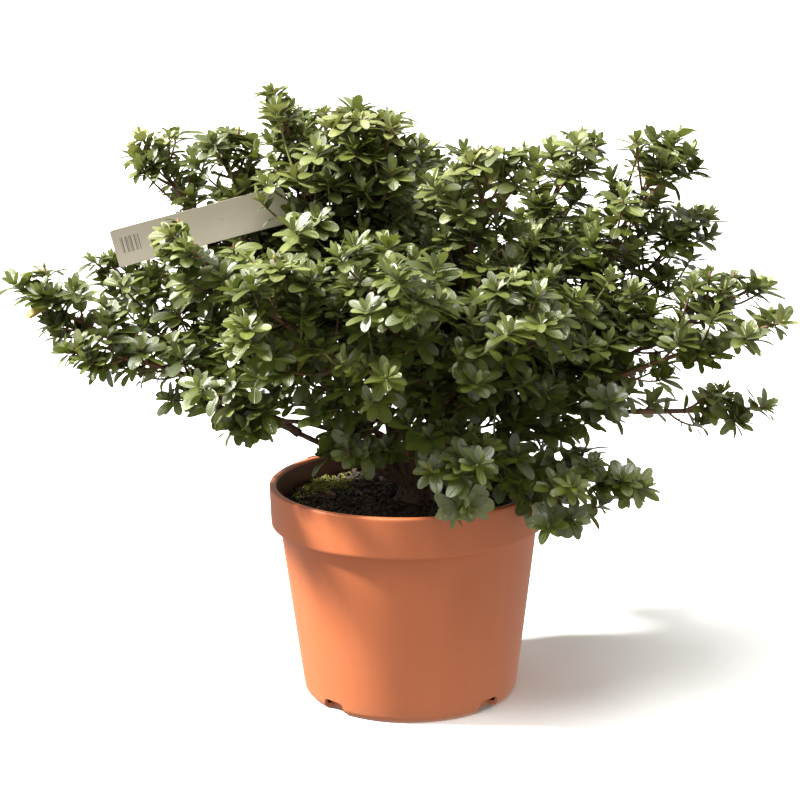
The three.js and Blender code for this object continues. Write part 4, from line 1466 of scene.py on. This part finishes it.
class AZALEA_OT_foliage(bpy.types.Operator):
    """Grow the twigs, shoots, whorls of leaves and buds of every mass of foliage"""

    bl_idname = "azalea.grow_foliage"
    bl_label = "Foliage"

    seed = 7
    bud_every = 3
    bud_places = (-0.5, 1.6, 3.4)
    bud_radii = (0.8, 1.25, 1.25, 0.85, 0.3)

    def leaves(self, shoots, space, settings, nodes):
        """Every leaf, joined into one piece for each tone."""
        random = np.random.default_rng(self.seed)
        rows = [row for shoot in shoots for row in dress_shoot(shoot, random)]
        foot, heading, face, rest = fit_leaves(np.array(rows, float), space)
        shape = LeafShape()
        length, width, curl, kinds = rest[:, :4].T
        points = leaf_points(shape, foot, heading, face, length, width, curl)
        for number, kind in enumerate(KINDS):
            mine = np.flatnonzero(kinds == number)
            if not len(mine):
                raise RuntimeError(f"no {kind} leaf grew")
            first_corners = np.arange(len(mine)) * shape.along.size
            faces = (shape.faces[None] + first_corners[:, None, None]).reshape(-1, 4)
            uv = np.tile(shape.uv, (len(mine), 1))
            piece = mesh_object(f"leaves_{kind}", points[mine], faces, uv)
            colour = getattr(settings, kind)
            material = leaf_material(f"{kind} leaves", colour, *LEAF_LOOKS[kind])
            dress(piece, material, "foliage", *nodes)

    def twigs(self, shoots, stems, nodes):
        """The leaders and twigs in brown, the finer shoots in green."""
        brown, green = Pile(), Pile()
        for shoot in shoots:
            ends = (shoot.root_radius, shoot.tip_radius)
            if shoot.order == 0:
                add_tube(brown, shoot.line, (ends[0], 1.7, 1.35, ends[1]), 8, 14)
            elif shoot.order == 1:
                add_tube(brown, shoot.line, ends, 6, 7)
            else:
                add_tube(green, shoot.line, ends, 6, 5)
        twig = twig_material("brown twigs", stems.twig)
        dress(brown.piece("brown_twigs"), twig, "bark", *nodes)
        shoot = twig_material("green shoots", stems.shoot)
        dress(green.piece("green_shoots"), shoot, "foliage", *nodes)

    def buds(self, shoots, settings, nodes):
        """A small pointed bud at the end of every third shoot."""
        pile = Pile()
        for shoot in shoots[:: self.bud_every]:
            tip = shoot.line.at(1.0)
            heading = unit(shoot.line.heading(1.0) + UP * WHORL_RISE)
            line = Line([tip + heading * place for place in self.bud_places])
            add_tube(pile, line, self.bud_radii, 6, 5)
        dress(pile.piece("buds"), twig_material("buds", settings.bud), "foliage", *nodes)

    def execute(self, context):
        scene = context.scene
        limbs = lay_limbs()
        space = Space(limbs, LabelPlace(limbs, scene.azalea_label))
        nodes = [f"foliage_{limb.name}" for limb in limbs]
        shoots = grow_shoots(limbs, space)
        self.leaves(shoots, space, scene.azalea_leaves, nodes)
        self.twigs(shoots, scene.azalea_stems, nodes)
        self.buds(shoots, scene.azalea_leaves, nodes)
        return {"FINISHED"}


class AZALEA_OT_label(bpy.types.Operator):
    """Make the plain plant label with its tail closed round a bough"""

    bl_idname = "azalea.make_label"
    bl_label = "Label"

    sharp_angle = math.radians(35)
    bow = 3.2
    ripple = 0.5
    crown = 0.9
    ring_wall = 1.2
    ring_half_height = 3.5
    ring_facets = 32

    def stations(self, place):
        """Distance from the bough, and lower and upper edge, from the tail to the far end."""
        half, tail, start = place.width / 2, place.tail_width / 2, place.strip_start
        low, high = place.lift - half, place.lift + half
        end = start + place.length
        return [
            (0, -tail, tail),
            (start - 6, -tail, tail),
            (start - 2, -tail * 1.15, tail * 1.3),
            (start + 1.5, place.lift - half * 0.9, place.lift + half * 0.8),
            (start + 3, low, high),
            *[(start + s * place.length, low, high) for s in np.linspace(0.06, 0.985, 30)],
            (end, place.lift - half * 0.93, place.lift + half * 0.93),
        ]

    def execute(self, context):
        settings = context.scene.azalea_label
        place = LabelPlace(lay_limbs(), settings)
        across = np.linspace(0, 1, 5)
        rows = []
        for along, low, high in self.stations(place):
            share = max(0.0, along - place.strip_start) / place.length
            bow = self.bow * math.sin(math.pi * share) * (1 - 0.4 * share)
            bow += self.ripple * math.sin(9 * share)
            crowns = [bow + self.crown * (4 * c * (1 - c)) for c in across]
            rows.append([(-along, crown, lerp(low, high, c)) for crown, c in zip(crowns, across)])
        front = np.array(rows)
        back = front + np.array([0, place.thickness, 0])
        count, wide = front.shape[:2]
        index = np.arange(count * wide).reshape(count, wide)
        other = index + count * wide
        faces = [
            quads(index[:-1, :-1], index[:-1, 1:], index[1:, 1:], index[1:, :-1]),
            quads(other[:-1, :-1], other[1:, :-1], other[1:, 1:], other[:-1, 1:]),
        ]
        edges = [(index[:, 0], other[:, 0]), (other[:, -1], index[:, -1])]
        edges += [(other[0], index[0]), (index[-1], other[-1])]
        faces += [quads(one[:-1], one[1:], two[1:], two[:-1]) for one, two in edges]
        points = np.concatenate([front.reshape(-1, 3), back.reshape(-1, 3)])
        pose = np.array(place.pose)
        pile = Pile()
        pile.add(points @ pose[:3, :3].T + pose[:3, 3], np.concatenate(faces))
        self.add_ring(pile, place)
        piece = pile.piece("label_strip")
        piece.data.set_sharp_from_angle(angle=self.sharp_angle)
        dress(piece, label_material(settings, place), "label_plastic", "plant_label")
        return {"FINISHED"}

    def add_ring(self, pile, place):
        """The band that closes round the bough."""
        turn = Vector((0, 0, 1)).rotation_difference(Vector(place.bough_heading)).to_matrix()
        inner, outer = place.ring_inner, place.ring_inner + self.ring_wall
        half = self.ring_half_height
        section = [(inner, -half), (outer, -half), (outer, half), (inner, half)]
        turns = even_turns(self.ring_facets)
        points = np.array([[(*(r * around(a)), z) for r, z in section] for a in turns])
        points = points.reshape(-1, 3) @ np.array(turn).T + np.array(place.pose.translation)
        index = np.arange(len(points)).reshape(-1, len(section))
        ahead = np.roll(index, -1, axis=0)
        faces = quads(index, ahead, np.roll(ahead, -1, axis=1), np.roll(index, -1, axis=1))
        pile.add(points, faces)


class AZALEA_OT_stage(bpy.types.Operator):
    """Set the pale floor, the soft lights and the camera"""

    bl_idname = "azalea.set_stage"
    bl_label = "Stage"

    floor_half_width = 7
    sweep_start = 2.4
    sweep_radius = 1.4
    floor_rows = [(-6, 0), (-2, 0), (sweep_start, 0)]
    backdrop_height = 4.5
    # Place, aim, size and colour of each lamp
    key_lamp = ((-6.55, 0.0, 6.45), (0, 0, 0.24), 1.0, (1.0, 0.985, 0.93))
    overhead_lamp = ((-0.3, -0.8, 3.2), (0, 0, 0.3), 2.2, (0.98, 0.98, 0.95))
    fill_colour = (1.0, 0.98, 0.93, 1)
    camera_distance = 1.2
    camera_height = 0.478
    camera_pitch = math.radians(12.88)
    camera_roll = math.radians(0.79)
    camera_lens = 81.675
    camera_sensor = 36
    camera_shift = -0.00875
    camera_far = 50

    def floor(self, settings):
        """A floor that sweeps up into a backdrop."""
        start, radius = self.sweep_start, self.sweep_radius
        rows = list(self.floor_rows)
        for angle in np.linspace(0.15, math.pi / 2, 10):
            rows.append((start + radius * math.sin(angle), radius - radius * math.cos(angle)))
        rows.append((start + radius, self.backdrop_height))
        width = self.floor_half_width
        corners = [(x, y, z) for y, z in rows for x in (-width, width)]
        faces = [(2 * k, 2 * k + 1, 2 * k + 3, 2 * k + 2) for k in range(len(rows) - 1)]
        mesh = bpy.data.meshes.new("studio_floor")
        mesh.from_pydata(corners, [], faces)
        mesh.shade_smooth()
        mesh.materials.append(floor_material(settings))
        floor = link("studio_floor", mesh)
        floor.visible_diffuse = False
        floor.visible_glossy = False

    def lamp(self, name, power, place, aim, size, colour):
        light = bpy.data.lights.new(name, "AREA")
        light.shape = "DISK"
        light.size = size
        light.energy = power
        light.color = colour
        lamp = link(name, light)
        lamp.location = place
        lamp.rotation_euler = (Vector(aim) - Vector(place)).to_track_quat("-Z", "Y").to_euler()

    def camera(self, scene):
        camera = link("camera", bpy.data.cameras.new("camera"))
        camera.data.lens = self.camera_lens
        camera.data.sensor_width = self.camera_sensor
        camera.data.shift_x = self.camera_shift
        camera.data.clip_end = self.camera_far
        place = Matrix.Translation((0, -self.camera_distance, self.camera_height))
        tilt = Matrix.Rotation(math.pi / 2 - self.camera_pitch, 4, "X")
        roll = Matrix.Rotation(-self.camera_roll, 4, "Z")
        camera.matrix_world = place @ tilt @ roll
        scene.camera = camera

    def execute(self, context):
        scene = context.scene
        stage = scene.azalea_stage
        self.floor(stage)
        self.lamp("key", stage.key, *self.key_lamp)
        self.lamp("overhead", stage.overhead, *self.overhead_lamp)
        scene.world = bpy.data.worlds.new("studio")
        scene.world.use_nodes = True
        background = scene.world.node_tree.nodes["Background"]
        background.inputs["Color"].default_value = self.fill_colour
        background.inputs["Strength"].default_value = stage.fill
        self.camera(scene)
        scene.view_settings.view_transform = "Standard"
        return {"FINISHED"}


STEPS = (
    AZALEA_OT_pot,
    AZALEA_OT_soil,
    AZALEA_OT_limbs,
    AZALEA_OT_foliage,
    AZALEA_OT_label,
    AZALEA_OT_stage,
)


class AZALEA_PT_panel(bpy.types.Panel):
    """Lists the steps that build the shrub"""

    bl_label = "Azalea Shrub"
    bl_idname = "AZALEA_PT_panel"
    bl_space_type = "VIEW_3D"
    bl_region_type = "UI"
    bl_category = "Azalea"

    def draw(self, context):
        for step in STEPS:
            self.layout.operator(step.bl_idname)


SETTINGS = {
    "azalea_pot": PotSettings,
    "azalea_soil": SoilSettings,
    "azalea_stems": StemSettings,
    "azalea_leaves": LeafSettings,
    "azalea_label": LabelSettings,
    "azalea_stage": StageSettings,
}


def register():
    for kind in (*SETTINGS.values(), *STEPS, AZALEA_PT_panel):
        bpy.utils.register_class(kind)
    for name, kind in SETTINGS.items():
        setattr(bpy.types.Scene, name, PointerProperty(type=kind))


def unregister():
    for name in SETTINGS:
        delattr(bpy.types.Scene, name)
    for kind in reversed((*SETTINGS.values(), *STEPS, AZALEA_PT_panel)):
        bpy.utils.unregister_class(kind)


def main():
    register()
    for step in STEPS:
        group, name = step.bl_idname.split(".")
        getattr(getattr(bpy.ops, group), name)()


if __name__ == "__main__":
    main()
